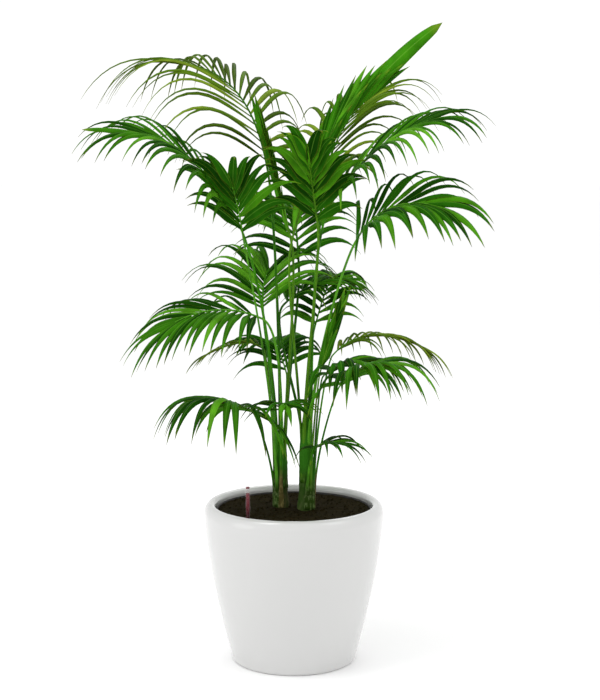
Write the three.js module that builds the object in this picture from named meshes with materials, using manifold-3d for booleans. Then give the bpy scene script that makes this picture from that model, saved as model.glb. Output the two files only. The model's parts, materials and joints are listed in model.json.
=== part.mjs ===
// A potted kentia palm: two clumped stems, long petioles and arching feather fronds,
// standing in a glossy round planter with a dark insert, soil and a water level gauge.
// Millimetres, +Z up, origin at the centre of the planter's flat underside.
// The viewer of the front stands on -Y, with +X to the right.

import * as THREE from 'three';
import { mergeVertices } from 'three/addons/utils/BufferGeometryUtils.js';
import Module from 'manifold-3d';

const wasm = await Module();
wasm.setup();

// Driving dimensions of the planter
const POT_DIAMETER = 350;
const POT_HEIGHT = 311;
const FOOT_RADIUS = 116;
const FOOT_CORNER = 8;
const FOOT_CORNER_SPREAD = 6;
const WALL = 5;
const FLOOR = 8;
const BELLY_HEIGHT = 290;
const WALL_CURVE = 1.465;
const CREST_RADIUS = 162;
const LIP_RADIUS = 152;
const LIP_DROP = 9;
const LIP_DEPTH = 20;
const SHOULDER_HEIGHT = POT_HEIGHT - LIP_DEPTH - WALL;
const INSERT_WALL = 3;
const INSERT_FLOOR_RADIUS = 100;
const INSERT_SHOULDER = 3;
const INSERT_TOP = 299;
const SOIL_LEVEL = 297;
const SOIL_EDGE = { width: 8, gap: 1, drop: 1 };
const CLEARANCE = 0.3;
const ROUND_FACETS = 32;
const PROFILE_STEPS = { outside: 7, rollOut: 4, rollIn: 2, inside: 4 };

// Driving dimensions of the water level gauge
const GAUGE_PLACE = [-87, -80];
const GAUGE_TOP = 372;
const GAUGE_RADIUS = 5;
const GAUGE_WALL = 1.4;
const GAUGE_FLOOR = 2;
const GAUGE_CORNER = { width: 1, height: 3 };
const GAUGE_FLOAT_TOP = 346;
const GAUGE_FLOAT_CORNER = { width: 1.1, height: 2 };
const GAUGE_FACETS = 10;

// Driving dimensions of the stems: their foot, the top where the leaf stalks part, and their girth
const STEMS = {
  left: { foot: [-25, 25], top: 384, footRadius: 16, topRadius: 12.5 },
  right: { foot: [24, 5], top: 400, footRadius: 17.5, topRadius: 13.5 },
};
const STEM_FACETS = 12;
const STEM_STEPS = 4;

// Driving dimensions of a stalk and of a frond's rib, as radii from foot to tip
const STALK_FOOT_RADIUS = { top: 3.9, side: 3.3 };
const STALK_NECK_RADIUS = 2.8;
const STALK_FACETS = 5;
const STALK_STEPS = 7;
const STALK_RISE = 0.36;
const STALK_ARRIVAL = { top: 0.16, side: 0.07 };
const SIDE_STALK_START = 30;
const RIB_NECK_RADIUS = 2.6;
const RIB_TIP_RADIUS = 1.8;
const RIB_FACETS = 3;
const RIB_STEPS = 7;

// Driving dimensions of a leaflet, as shares of its own length or width
const SHORT_LEAFLET = { at: [0, 5, 12], girth: [0.25, 1, 0] };
const LONG_LEAFLET = { at: [0, 4, 8, 12], girth: [0.25, 1, 0.8, 0] };
const END_LEAF = { at: [0, 4, 10, 12], girth: [0.35, 1, 0.85, 0] };
const LONG_FROM = 185;
const LEAFLET_THICKNESS = 0.013;
const PEAK = { t: 0.35, neckShare: 0.75, tipShare: 0.84 };
const SPINE_STEPS = 12;
const HANG = 3;
const FIRST_LEAFLET = 0.07;
const LAST_LEAFLET = 0.96;
const END_START = 0.93;
const END_ANGLE = 2;
const STAGGER = 0.4;
const ROOM = 0.7;
const TRIES = [
  { reach: 1, sag: 0 },
  { reach: 1, sag: 0.25 },
  { reach: 1, sag: -0.25 },
  { reach: 0.82, sag: 0.1 },
  { reach: 0.65, sag: -0.1 },
  { reach: 0.5, sag: 0 },
];

// Finishes, as sRGB colours with their roughness
const GLOSS_WHITE = { color: '#f4f4f3', roughness: 0.16 };
const DARK_PLASTIC = { color: '#2a2826', roughness: 0.6 };
const SOIL = { color: '#2b2318', roughness: 0.95 };
const CLEAR_TUBE = { color: '#e6e2e4', roughness: 0.1 };
const RED_FLOAT = { color: '#8c1322', roughness: 0.4 };
const SHEATH = { color: '#6d7f45', roughness: 0.7 };
const STALK = { color: '#3f7f22', roughness: 0.5 };
const DEEP = { color: '#1d5a14', roughness: 0.45 };
const MID = { color: '#2f7d1a', roughness: 0.45 };
const BRIGHT = { color: '#4aa325', roughness: 0.45 };
const OLIVE = { color: '#5f8a23', roughness: 0.45 };

// Each frond: the stem that bears it, the ring and the angle where its stalk starts, and the
// neck, crest and tip that its rib passes; pairs of leaflets, their greatest length and width,
// the angle that they make with the rib at its neck and at its tip, how far they rise out of
// the blade, how strongly they hang, and how far the blade is rolled about its rib. A frond
// with an end has one broad leaf more, which goes on from the rib's last stretch.
const FRONDS = {
  left_feather: {
    stem: 'left', ring: 'top', seat: 98, neck: [-50, 60, 950], crest: [-105, 130, 1095],
    tip: [-205, 190, 1160], pairs: 11, leaf: 300, width: 14, fan: [66, 26], lift: 4, droop: 0.7,
    roll: 0, finish: OLIVE,
  },
  left_reach: {
    stem: 'left', ring: 'top', seat: 218, neck: [-105, -20, 855], crest: [-190, -60, 975],
    tip: [-280, -95, 1022], pairs: 10, leaf: 185, width: 17, fan: [60, 13], lift: 6, droop: 0.6,
    roll: -25, end: { reach: 125, width: 24, droop: 0.15 }, finish: MID,
  },
  left_heart: {
    stem: 'left', ring: 'side', seat: 240, neck: [-96, -40, 835], crest: [-103, -72, 885],
    tip: [-112, -105, 925], pairs: 6, leaf: 145, width: 19, fan: [64, 14], lift: 25, droop: 0.4,
    roll: 0, finish: DEEP,
  },
  centre_spear: {
    stem: 'left', ring: 'top', seat: 338, neck: [-5, 10, 820], crest: [-30, 30, 925],
    tip: [-50, 40, 1000], pairs: 5, leaf: 130, width: 18, fan: [9, 3], lift: 0, droop: 0,
    roll: 60, finish: BRIGHT,
  },
  back_arch: {
    stem: 'left', ring: 'top', seat: 38, neck: [10, 120, 755], crest: [0, 200, 860],
    tip: [-15, 300, 875], pairs: 9, leaf: 180, width: 20, fan: [65, 14], lift: 12, droop: 0.5,
    roll: 0, finish: DEEP,
  },
  mid_back: {
    stem: 'left', ring: 'top', seat: 158, neck: [-60, 40, 680], crest: [-60, 95, 725],
    tip: [-50, 150, 755], pairs: 9, leaf: 200, width: 17, fan: [75, 22], lift: 30, droop: 0.6,
    roll: 0, finish: MID,
  },
  mid_left: {
    stem: 'left', ring: 'top', seat: 278, neck: [-60, -40, 675], crest: [-140, -75, 695],
    tip: [-220, -105, 675], pairs: 9, leaf: 165, width: 17, fan: [65, 12], lift: 6, droop: 0.6,
    roll: -20, finish: MID,
  },
  mid_left_slim: {
    stem: 'left', ring: 'side', seat: 145, neck: [-62, 75, 605], crest: [-102, 95, 612],
    tip: [-167, 112, 590], pairs: 6, leaf: 90, width: 9, fan: [45, 15], lift: 8, droop: 0.5,
    roll: 0, finish: OLIVE,
  },
  low_left: {
    stem: 'left', ring: 'side', seat: 210, neck: [-78, -10, 488], crest: [-108, -40, 512],
    tip: [-148, -65, 525], pairs: 8, leaf: 195, width: 19, fan: [100, 12], lift: 4, droop: 1.1,
    roll: 0, finish: MID,
  },
  low_inner: {
    stem: 'left', ring: 'side', seat: 270, neck: [-25, -30, 495], crest: [-25, -65, 515],
    tip: [-15, -95, 520], pairs: 4, leaf: 100, width: 16, fan: [75, 20], lift: 10, droop: 0.6,
    roll: 0, finish: DEEP,
  },
  back_low: {
    stem: 'left', ring: 'side', seat: 82, neck: [-15, 100, 550], crest: [-35, 160, 595],
    tip: [-55, 225, 600], pairs: 8, leaf: 150, width: 18, fan: [70, 14], lift: 12, droop: 0.6,
    roll: 0, finish: DEEP,
  },
  tall_spear: {
    stem: 'right', ring: 'top', seat: 180, neck: [-5, -10, 815], crest: [52, -5, 985],
    tip: [124, 5, 1086], pairs: 7, leaf: 150, width: 20, fan: [8, 4], lift: 0, droop: 0.05,
    roll: 70, end: { reach: 232, width: 32, droop: 0.1 }, finish: BRIGHT,
  },
  back_feather: {
    stem: 'right', ring: 'top', seat: 60, neck: [55, 80, 895], crest: [85, 125, 1010],
    tip: [150, 175, 1095], pairs: 10, leaf: 210, width: 14, fan: [60, 20], lift: 10, droop: 0.6,
    roll: 0, finish: OLIVE,
  },
  right_reach: {
    stem: 'right', ring: 'top', seat: 0, neck: [70, -20, 890], crest: [150, -65, 990],
    tip: [245, -105, 1045], pairs: 10, leaf: 175, width: 16, fan: [60, 12], lift: 8, droop: 0.6,
    roll: 25, finish: MID,
  },
  right_low: {
    stem: 'right', ring: 'top', seat: 300, neck: [110, -60, 810], crest: [165, -100, 880],
    tip: [245, -145, 895], pairs: 9, leaf: 180, width: 24, fan: [66, 12], lift: 15, droop: 0.55,
    roll: 35, finish: DEEP,
  },
  dark_heart: {
    stem: 'right', ring: 'top', seat: 240, neck: [45, -40, 855], crest: [36, -72, 920],
    tip: [28, -110, 975], pairs: 7, leaf: 130, width: 24, fan: [62, 14], lift: 25, droop: 0.4,
    roll: 0, finish: DEEP,
  },
  mid_right: {
    stem: 'right', ring: 'top', seat: 120, neck: [-20, 76, 690], crest: [28, 98, 722],
    tip: [78, 122, 730], pairs: 8, leaf: 135, width: 16, fan: [65, 15], lift: 14, droop: 0.6,
    roll: 0, finish: MID,
  },
  back_right: {
    stem: 'right', ring: 'side', seat: 85, neck: [40, 110, 635], crest: [65, 175, 710],
    tip: [85, 245, 735], pairs: 8, leaf: 125, width: 18, fan: [70, 14], lift: 12, droop: 0.6,
    roll: 0, finish: DEEP,
  },
  olive_arch: {
    stem: 'right', ring: 'side', seat: 30, neck: [75, 30, 595], crest: [145, 60, 630],
    tip: [240, 90, 610], pairs: 8, leaf: 140, width: 10, fan: [48, 12], lift: 8, droop: 0.8,
    roll: 0, finish: OLIVE,
  },
  young_spear: {
    stem: 'right', ring: 'side', seat: 300, neck: [50, -35, 570], crest: [63, -35, 615],
    tip: [78, -30, 660], pairs: 3, leaf: 95, width: 15, fan: [8, 3], lift: 0, droop: 0,
    roll: 70, finish: MID,
  },
  low_hand: {
    stem: 'right', ring: 'side', seat: 325, neck: [56, -14, 560], crest: [90, -45, 590],
    tip: [130, -65, 595], pairs: 6, leaf: 150, width: 20, fan: [75, 14], lift: 8, droop: 0.9,
    roll: 0, finish: DEEP,
  },
  right_hand: {
    stem: 'right', ring: 'side', seat: 355, neck: [85, -60, 545], crest: [115, -90, 582],
    tip: [155, -115, 598], pairs: 7, leaf: 180, width: 19, fan: [75, 12], lift: 6, droop: 0.9,
    roll: 0, finish: MID,
  },
  low_right: {
    stem: 'right', ring: 'side', seat: 275, neck: [38, -46, 425], crest: [55, -58, 438],
    tip: [78, -68, 442], pairs: 4, leaf: 105, width: 13, fan: [90, 12], lift: 10, droop: 0.6,
    roll: 0, finish: DEEP,
  },
};

const UP = new THREE.Vector3(0, 0, 1);
const DOWN = new THREE.Vector3(0, 0, -1);
const plant = new THREE.Group();

// Solids: between three.js geometry and closed manifold bodies

function toSolid(geometry) {
  const bare = geometry.clone();
  bare.deleteAttribute('normal');
  bare.deleteAttribute('uv');
  const merged = mergeVertices(bare, 1e-4);
  return new wasm.Manifold(new wasm.Mesh({
    numProp: 3,
    vertProperties: new Float32Array(merged.attributes.position.array),
    triVerts: new Uint32Array(merged.index.array),
  }));
}

function toGeometry(solid) {
  const mesh = solid.getMesh();
  const geometry = new THREE.BufferGeometry();
  geometry.setAttribute('position', new THREE.BufferAttribute(mesh.vertProperties, 3));
  geometry.setIndex(new THREE.BufferAttribute(mesh.triVerts, 1));
  geometry.computeVertexNormals();
  return geometry;
}

// Where fused leaflets seal a hollow between them, it is filled: the outermost shell stays
function outerShell(geometry) {
  const place = geometry.attributes.position;
  const corners = Array.from(geometry.index.array);
  const parent = Array.from({ length: place.count }, (_, k) => k);
  const rootOf = (k) => {
    let root = k;
    while (parent[root] !== root) root = parent[root];
    parent[k] = root;
    return root;
  };
  const [a, b, c] = [new THREE.Vector3(), new THREE.Vector3(), new THREE.Vector3()];
  for (let i = 0; i < corners.length; i += 3) {
    parent[rootOf(corners[i + 1])] = rootOf(corners[i]);
    parent[rootOf(corners[i + 2])] = rootOf(corners[i]);
  }
  const volumes = new Map();
  for (let i = 0; i < corners.length; i += 3) {
    [a, b, c].forEach((corner, k) => corner.fromBufferAttribute(place, corners[i + k]));
    const shell = rootOf(corners[i]);
    volumes.set(shell, (volumes.get(shell) ?? 0) + a.dot(b.cross(c)) / 6);
  }
  const largest = [...volumes].sort((one, other) => other[1] - one[1])[0][0];
  const kept = [];
  for (let i = 0; i < corners.length; i += 3) {
    if (rootOf(corners[i]) === largest) kept.push(...corners.slice(i, i + 3));
  }
  geometry.setIndex(kept);
  return geometry;
}

function addNode(name, geometry, finish) {
  const material = new THREE.MeshStandardMaterial({ ...finish, metalness: 0 });
  const mesh = new THREE.Mesh(geometry, material);
  mesh.name = name;
  plant.add(mesh);
  return mesh;
}

// Planter: everything round, as profiles of radius and height turned about +Z

function turned(profile, facets) {
  const points = profile.map(([radius, height]) => new THREE.Vector2(radius, height));
  const geometry = new THREE.LatheGeometry(points, facets);
  geometry.rotateX(Math.PI / 2);
  return geometry;
}

function ellipseArc(centre, radii, from, to, steps) {
  return Array.from({ length: steps + 1 }, (_, k) => {
    const angle = THREE.MathUtils.degToRad(from + (to - from) * k / steps);
    return [centre[0] + radii[0] * Math.cos(angle), centre[1] + radii[1] * Math.sin(angle)];
  });
}

// The wall swells quickly above the foot and stands almost upright at the belly
function wallRadius(height) {
  const belly = POT_DIAMETER / 2;
  const cornerRadius = FOOT_RADIUS + FOOT_CORNER_SPREAD;
  const rise = (height - FOOT_CORNER) / (BELLY_HEIGHT - FOOT_CORNER);
  return belly - (belly - cornerRadius) * (1 - rise) ** WALL_CURVE;
}

function wallProfile(inset, from, steps) {
  return Array.from({ length: steps + 1 }, (_, k) => {
    const height = from + (BELLY_HEIGHT - from) * k / steps;
    return [wallRadius(height) - inset, height];
  });
}

function buildPlanter() {
  const belly = POT_DIAMETER / 2;
  const outside = wallProfile(0, FOOT_CORNER, PROFILE_STEPS.outside);
  const rollOut = ellipseArc([CREST_RADIUS, BELLY_HEIGHT],
    [belly - CREST_RADIUS, POT_HEIGHT - BELLY_HEIGHT], 0, 90, PROFILE_STEPS.rollOut).slice(1);
  const rollIn = ellipseArc([CREST_RADIUS, POT_HEIGHT - LIP_DROP],
    [CREST_RADIUS - LIP_RADIUS, LIP_DROP], 90, 180, PROFILE_STEPS.rollIn).slice(1);
  const underLip = [LIP_RADIUS, POT_HEIGHT - LIP_DEPTH];
  const inside = wallProfile(WALL, FLOOR, PROFILE_STEPS.inside).reverse();
  inside[0][1] = SHOULDER_HEIGHT;
  const profile = [[0, 0], [FOOT_RADIUS, 0], ...outside, ...rollOut, ...rollIn, underLip,
    ...inside, [0, FLOOR]];
  addNode('planter_shell', turned(profile, ROUND_FACETS), GLOSS_WHITE);
}

function buildInsertAndSoil() {
  const floor = FLOOR + CLEARANCE;
  const rim = LIP_RADIUS - CLEARANCE;
  const mouth = rim - INSERT_WALL;
  const inner = INSERT_FLOOR_RADIUS - INSERT_WALL;
  const insert = [[0, floor], [INSERT_FLOOR_RADIUS, floor], [rim - INSERT_SHOULDER, SHOULDER_HEIGHT],
    [rim, INSERT_TOP], [mouth, INSERT_TOP], [mouth - INSERT_SHOULDER, SHOULDER_HEIGHT],
    [inner, floor + INSERT_WALL], [0, floor + INSERT_WALL]];
  addNode('insert_pot', turned(insert, ROUND_FACETS), DARK_PLASTIC);

  const bed = floor + INSERT_WALL + CLEARANCE;
  const soil = [[0, bed], [inner - CLEARANCE, bed],
    [mouth - INSERT_SHOULDER - CLEARANCE, SHOULDER_HEIGHT],
    [mouth - SOIL_EDGE.gap, SOIL_LEVEL - SOIL_EDGE.drop], [mouth - SOIL_EDGE.width, SOIL_LEVEL],
    [0, SOIL_LEVEL]];
  addNode('soil', turned(soil, ROUND_FACETS), SOIL);
}

function buildGauge() {
  const foot = SOIL_LEVEL + CLEARANCE;
  const bore = GAUGE_RADIUS - GAUGE_WALL;
  const tube = [[0, foot], [GAUGE_RADIUS, foot], [GAUGE_RADIUS, GAUGE_TOP - GAUGE_CORNER.height],
    [GAUGE_RADIUS - GAUGE_CORNER.width, GAUGE_TOP], [bore, GAUGE_TOP], [bore, foot + GAUGE_FLOOR],
    [0, foot + GAUGE_FLOOR]];
  const floatFoot = foot + GAUGE_FLOOR + CLEARANCE;
  const floatRadius = bore - CLEARANCE;
  const float = [[0, floatFoot], [floatRadius, floatFoot],
    [floatRadius, GAUGE_FLOAT_TOP - GAUGE_FLOAT_CORNER.height],
    [floatRadius - GAUGE_FLOAT_CORNER.width, GAUGE_FLOAT_TOP], [0, GAUGE_FLOAT_TOP]];
  const [x, y] = GAUGE_PLACE;
  addNode('gauge_tube', turned(tube, GAUGE_FACETS), CLEAR_TUBE).position.set(x, y, 0);
  addNode('gauge_float', turned(float, GAUGE_FACETS), RED_FLOAT).position.set(x, y, 0);
}

// Limbs: a section with few sides, swept along a curve and then tapered about it

function limb(curve, facets, steps, radiusAt) {
  const section = new THREE.Shape(Array.from({ length: facets }, (_, k) => {
    const angle = 2 * Math.PI * k / facets;
    return new THREE.Vector2(Math.cos(angle), Math.sin(angle));
  }));
  const geometry = new THREE.ExtrudeGeometry(section,
    { steps, extrudePath: curve, bevelEnabled: false, curveSegments: 1 });
  const spine = curve.getSpacedPoints(steps);
  const place = geometry.attributes.position;
  const corner = new THREE.Vector3();
  for (let i = 0; i < place.count; i += 1) {
    corner.fromBufferAttribute(place, i);
    const gaps = spine.map((point) => point.distanceTo(corner));
    const step = gaps.indexOf(Math.min(...gaps));
    corner.sub(spine[step]).multiplyScalar(radiusAt(step / steps)).add(spine[step]);
    place.setXYZ(i, corner.x, corner.y, corner.z);
  }
  return geometry;
}

function buildStem(name, stem) {
  const [x, y] = stem.foot;
  const curve = new THREE.LineCurve3(new THREE.Vector3(x, y, SOIL_LEVEL + CLEARANCE),
    new THREE.Vector3(x, y, stem.top));
  const flare = (t) => THREE.MathUtils.lerp(stem.footRadius, stem.topRadius,
    Math.min(1, t * STEM_STEPS));
  const geometry = limb(curve, STEM_FACETS, STEM_STEPS, flare);
  addNode(`stem_${name}`, geometry, SHEATH);
  return toSolid(geometry);
}

function seatOf(frond) {
  const stem = STEMS[frond.stem];
  const onTop = frond.ring === 'top';
  const stalkRadius = STALK_FOOT_RADIUS[frond.ring];
  const radius = stem.topRadius + (onTop ? -stalkRadius : stalkRadius + CLEARANCE);
  const height = onTop ? stem.top + CLEARANCE : SOIL_LEVEL + SIDE_STALK_START;
  const angle = THREE.MathUtils.degToRad(frond.seat);
  return new THREE.Vector3(stem.foot[0] + radius * Math.cos(angle),
    stem.foot[1] + radius * Math.sin(angle), height);
}

// The rib passes its neck, its crest half way along, and its tip
function ribCurve(frond) {
  const neck = new THREE.Vector3(...frond.neck);
  const crest = new THREE.Vector3(...frond.crest);
  const tip = new THREE.Vector3(...frond.tip);
  const pull = crest.clone().multiplyScalar(2).addScaledVector(neck, -0.5).addScaledVector(tip, -0.5);
  const outward = pull.clone().sub(neck).normalize();
  return new THREE.QuadraticBezierCurve3(neck.addScaledVector(outward, CLEARANCE), pull, tip);
}

// The stalk rises upright from its seat and arrives in line with the rib
function stalkCurve(frond) {
  const seat = seatOf(frond);
  const neck = new THREE.Vector3(...frond.neck);
  const span = seat.distanceTo(neck);
  const outward = ribCurve(frond).getTangent(0);
  const arrival = span * STALK_ARRIVAL[frond.ring];
  return new THREE.CubicBezierCurve3(seat, seat.clone().addScaledVector(UP, span * STALK_RISE),
    neck.clone().addScaledVector(outward, -arrival), neck);
}

// Leaflets: tented blades that leave the rib on both sides and bend down under their weight

function bladeAxes(rib, frond, t) {
  const along = rib.getTangent(t);
  const reach = new THREE.Vector3(frond.tip[0] - frond.neck[0], frond.tip[1] - frond.neck[1], 0);
  const side = new THREE.Vector3().crossVectors(UP, reach).normalize();
  side.addScaledVector(along, -side.dot(along)).normalize();
  side.applyAxisAngle(along, THREE.MathUtils.degToRad(frond.roll));
  const face = new THREE.Vector3().crossVectors(along, side);
  return { along, side, face };
}

// Longest a third of the way out, and shorter towards the neck and the tip
function lengthShare(t) {
  const { lerp } = THREE.MathUtils;
  return t < PEAK.t ? lerp(PEAK.neckShare, 1, t / PEAK.t)
    : lerp(1, PEAK.tipShare, (t - PEAK.t) / (1 - PEAK.t));
}

function leafletStations(rib, frond, leaflet, attempt, outset) {
  const { t, hand, angle: degrees, reach, width, droop, form } = leaflet;
  const { along, side, face } = bladeAxes(rib, frond, t);
  const angle = THREE.MathUtils.degToRad(degrees);
  const lift = THREE.MathUtils.degToRad(frond.lift);
  const aim = along.clone().multiplyScalar(Math.cos(angle))
    .addScaledVector(side, hand * Math.sin(angle) * Math.cos(lift))
    .addScaledVector(face, Math.sin(angle) * Math.sin(lift));
  const length = reach * attempt.reach;
  const sag = Math.max(0, droop + attempt.sag);
  const breadth = along.clone().multiplyScalar(Math.sin(angle))
    .addScaledVector(side, -hand * Math.cos(angle));
  const place = rib.getPoint(t);
  const heading = aim.clone();
  const stations = [];
  for (let k = 0; k <= SPINE_STEPS; k += 1) {
    const share = k / SPINE_STEPS;
    const station = form.at.indexOf(k);
    heading.copy(aim).addScaledVector(DOWN, sag * HANG * share ** 2).normalize();
    if (station >= 0) {
      const across = breadth.clone().addScaledVector(heading, -breadth.dot(heading)).normalize();
      const top = new THREE.Vector3().crossVectors(heading, across).multiplyScalar(-hand);
      const half = width / 2 * form.girth[station] + outset;
      const depth = length * LEAFLET_THICKNESS * form.girth[station];
      const base = place.clone().addScaledVector(top, -outset - depth / 3);
      const apex = place.clone().addScaledVector(heading, 2 * outset);
      stations.push({ apex, across, top, half, thick: depth + 3 * outset, base });
    }
    place.addScaledVector(heading, length / SPINE_STEPS);
  }
  return stations;
}

function leafletGeometry(stations, hand) {
  const corners = [];
  stations.slice(0, -1).forEach(({ base, across, top, half, thick }) => {
    corners.push(base.clone().addScaledVector(across, half));
    corners.push(base.clone().addScaledVector(across, -half));
    corners.push(base.clone().addScaledVector(top, thick));
  });
  corners.push(stations[stations.length - 1].apex);
  const faces = [];
  const addFace = (a, b, c) => faces.push(...(hand > 0 ? [a, c, b] : [a, b, c]));
  const bands = stations.length - 2;
  addFace(0, 1, 2);
  for (let band = 0; band < bands; band += 1) {
    for (let k = 0; k < 3; k += 1) {
      const here = 3 * band + k;
      const next = 3 * band + (k + 1) % 3;
      addFace(here, here + 3, next + 3);
      addFace(here, next + 3, next);
    }
  }
  const apex = corners.length - 1;
  for (let k = 0; k < 3; k += 1) {
    addFace(3 * bands + k, apex, 3 * bands + (k + 1) % 3);
  }
  const geometry = new THREE.BufferGeometry().setFromPoints(corners);
  geometry.setIndex(faces);
  return geometry;
}

function leafletSolid(rib, frond, leaflet, attempt, outset) {
  const stations = leafletStations(rib, frond, leaflet, attempt, outset);
  return toSolid(leafletGeometry(stations, leaflet.hand));
}

function boundsOf(solid) {
  return new THREE.Box3().setFromArray(solid.getMesh().vertProperties);
}

function isClear(solid, others) {
  const box = boundsOf(solid);
  return others.every((other) => !box.intersectsBox(other.box)
    || solid.intersect(other.solid).getMesh().triVerts.length === 0);
}

// Leaflets stand in nearly opposite pairs, and some fronds end in one broad leaf
function leafletsOf(frond) {
  const { droop, width, end } = frond;
  const form = frond.leaf > LONG_FROM ? LONG_LEAFLET : SHORT_LEAFLET;
  const leaflets = [];
  for (let k = 0; k < frond.pairs; k += 1) {
    const place = FIRST_LEAFLET + (LAST_LEAFLET - FIRST_LEAFLET) * k / (frond.pairs - 1);
    [1, -1].forEach((hand) => {
      const t = hand > 0 ? place : Math.min(1, place + STAGGER / frond.pairs);
      const angle = THREE.MathUtils.lerp(frond.fan[0], frond.fan[1], t);
      leaflets.push({ t, hand, angle, reach: frond.leaf * lengthShare(t), width, droop, form });
    });
  }
  if (end) leaflets.push({ ...end, t: END_START, hand: 1, angle: END_ANGLE, form: END_LEAF });
  return leaflets;
}

function buildPlant() {
  const obstacles = [];
  const addObstacle = (owner, solid) => obstacles.push({ owner, solid, box: boundsOf(solid) });

  Object.entries(STEMS).forEach(([name, stem]) => addObstacle('stems', buildStem(name, stem)));
  const ribs = {};
  Object.entries(FRONDS).forEach(([name, frond]) => {
    const stalk = limb(stalkCurve(frond), STALK_FACETS, STALK_STEPS,
      (t) => THREE.MathUtils.lerp(STALK_FOOT_RADIUS[frond.ring], STALK_NECK_RADIUS, t));
    addNode(`stalk_${name}`, stalk, STALK);
    addObstacle('stalks', toSolid(stalk));
    const rib = limb(ribCurve(frond), RIB_FACETS, RIB_STEPS,
      (t) => THREE.MathUtils.lerp(RIB_NECK_RADIUS, RIB_TIP_RADIUS, t));
    ribs[name] = toSolid(rib);
    addObstacle(name, ribs[name]);
  });

  Object.entries(FRONDS).forEach(([name, frond]) => {
    const rib = ribCurve(frond);
    const others = obstacles.filter((obstacle) => obstacle.owner !== name);
    let blade = ribs[name];
    leafletsOf(frond).forEach((leaflet) => {
      const attempt = TRIES.find((option) => (
        isClear(leafletSolid(rib, frond, leaflet, option, ROOM), others)));
      if (!attempt) return;
      const solid = leafletSolid(rib, frond, leaflet, attempt, 0);
      addObstacle(name, solid);
      blade = blade.add(solid);
    });
    addNode(`frond_${name}`, outerShell(toGeometry(blade)), frond.finish);
  });
}

buildPlanter();
buildInsertAndSoil();
buildGauge();
buildPlant();

export default plant;
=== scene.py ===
"""A potted kentia palm in a glossy round planter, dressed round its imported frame.

The planter, its insert, the soil and the gauge take their places from the frame. The stalks and fronds
follow the source's rule, written again with more and finer leaflets. All lengths are in metres, with +Z up
and the viewer of the front on -Y.
"""

import json
import logging
import math
import random
from collections.abc import Callable, Sequence
from dataclasses import dataclass, replace
from enum import Enum
from functools import cache, cached_property

import bmesh
import bpy
from mathutils import Euler, Matrix, Vector, noise
from mathutils.kdtree import KDTree

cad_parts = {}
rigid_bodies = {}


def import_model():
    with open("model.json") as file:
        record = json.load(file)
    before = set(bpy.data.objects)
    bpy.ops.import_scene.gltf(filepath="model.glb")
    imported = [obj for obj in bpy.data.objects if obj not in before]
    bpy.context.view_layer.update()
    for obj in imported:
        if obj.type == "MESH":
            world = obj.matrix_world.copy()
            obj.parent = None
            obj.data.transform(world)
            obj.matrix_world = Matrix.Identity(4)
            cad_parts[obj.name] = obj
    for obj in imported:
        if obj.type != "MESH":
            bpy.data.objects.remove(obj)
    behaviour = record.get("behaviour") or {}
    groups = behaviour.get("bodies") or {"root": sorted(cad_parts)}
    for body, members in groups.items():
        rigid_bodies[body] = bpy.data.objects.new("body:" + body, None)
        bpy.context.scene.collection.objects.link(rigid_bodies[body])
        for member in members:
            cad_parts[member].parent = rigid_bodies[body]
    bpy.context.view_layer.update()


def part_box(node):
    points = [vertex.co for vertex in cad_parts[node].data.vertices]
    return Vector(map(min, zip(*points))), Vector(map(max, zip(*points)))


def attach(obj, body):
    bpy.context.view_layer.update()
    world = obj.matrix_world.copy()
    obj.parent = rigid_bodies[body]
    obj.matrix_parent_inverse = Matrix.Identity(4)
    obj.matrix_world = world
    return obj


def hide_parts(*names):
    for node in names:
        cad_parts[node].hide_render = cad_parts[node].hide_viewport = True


LOG = logging.getLogger("kentia")
MM = 0.001
BODY = "root"
UP = Vector((0.0, 0.0, 1.0))
WELD = 0.01 * MM

Place = Callable[[float, float], Vector]
Triple = tuple[float, float, float]
Spine = list[tuple[Vector, Vector, Vector]]
Node = bpy.types.Node


@cache
def corners(node: str) -> tuple[Vector, Vector]:
    """Returns the lowest and the highest corner of a CAD node."""
    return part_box(node)


def smooth(value: float) -> float:
    """Eases a share from 0 to 1.

    Args:
        value: The share, which is held between 0 and 1.

    Returns:
        The eased share.
    """
    share = min(1.0, max(0.0, value))
    return share * share * (3.0 - 2.0 * share)


def mixed(start: float, end: float, share: float) -> float:
    """Returns the value that lies at a share of the way from start to end."""
    return start + (end - start) * share


def arc(start: float, end: float, steps: int, left_out: int = 0) -> list[float]:
    """Steps round part of a circle.

    Args:
        start: The first angle, in degrees.
        end: The last angle, in degrees.
        steps: The number of steps between them.
        left_out: How many of the first angles are left out.

    Returns:
        The angles, in radians.
    """
    return [math.radians(mixed(start, end, step / steps)) for step in range(left_out, steps + 1)]


def linear(colour: str) -> tuple[float, float, float, float]:
    """Turns an sRGB colour to the linear values that a shader takes.

    Args:
        colour: The colour as a hash and six hex digits.

    Returns:
        Red, green, blue and an alpha of 1.
    """
    channels = [int(colour[place:place + 2], 16) / 255 for place in (1, 3, 5)]
    bent = [c / 12.92 if c <= 0.04045 else ((c + 0.055) / 1.055) ** 2.4 for c in channels]
    return (bent[0], bent[1], bent[2], 1.0)


def add_node(tree: bpy.types.NodeTree, kind: str, settings: dict | None = None,
             links: dict | None = None) -> Node:
    """Adds a node to a tree, with its settings and what feeds it.

    Args:
        tree: The node tree.
        kind: The node's type.
        settings: Properties by their own names, and input values by socket name or number.
        links: Output sockets by the name or number of the input that they feed.

    Returns:
        The new node.
    """
    node = tree.nodes.new(kind)
    for name, value in (settings or {}).items():
        if isinstance(name, str) and name.islower():
            setattr(node, name, value)
        else:
            node.inputs[name].default_value = value
    for name, source in (links or {}).items():
        tree.links.new(source, node.inputs[name])
    return node


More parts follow.
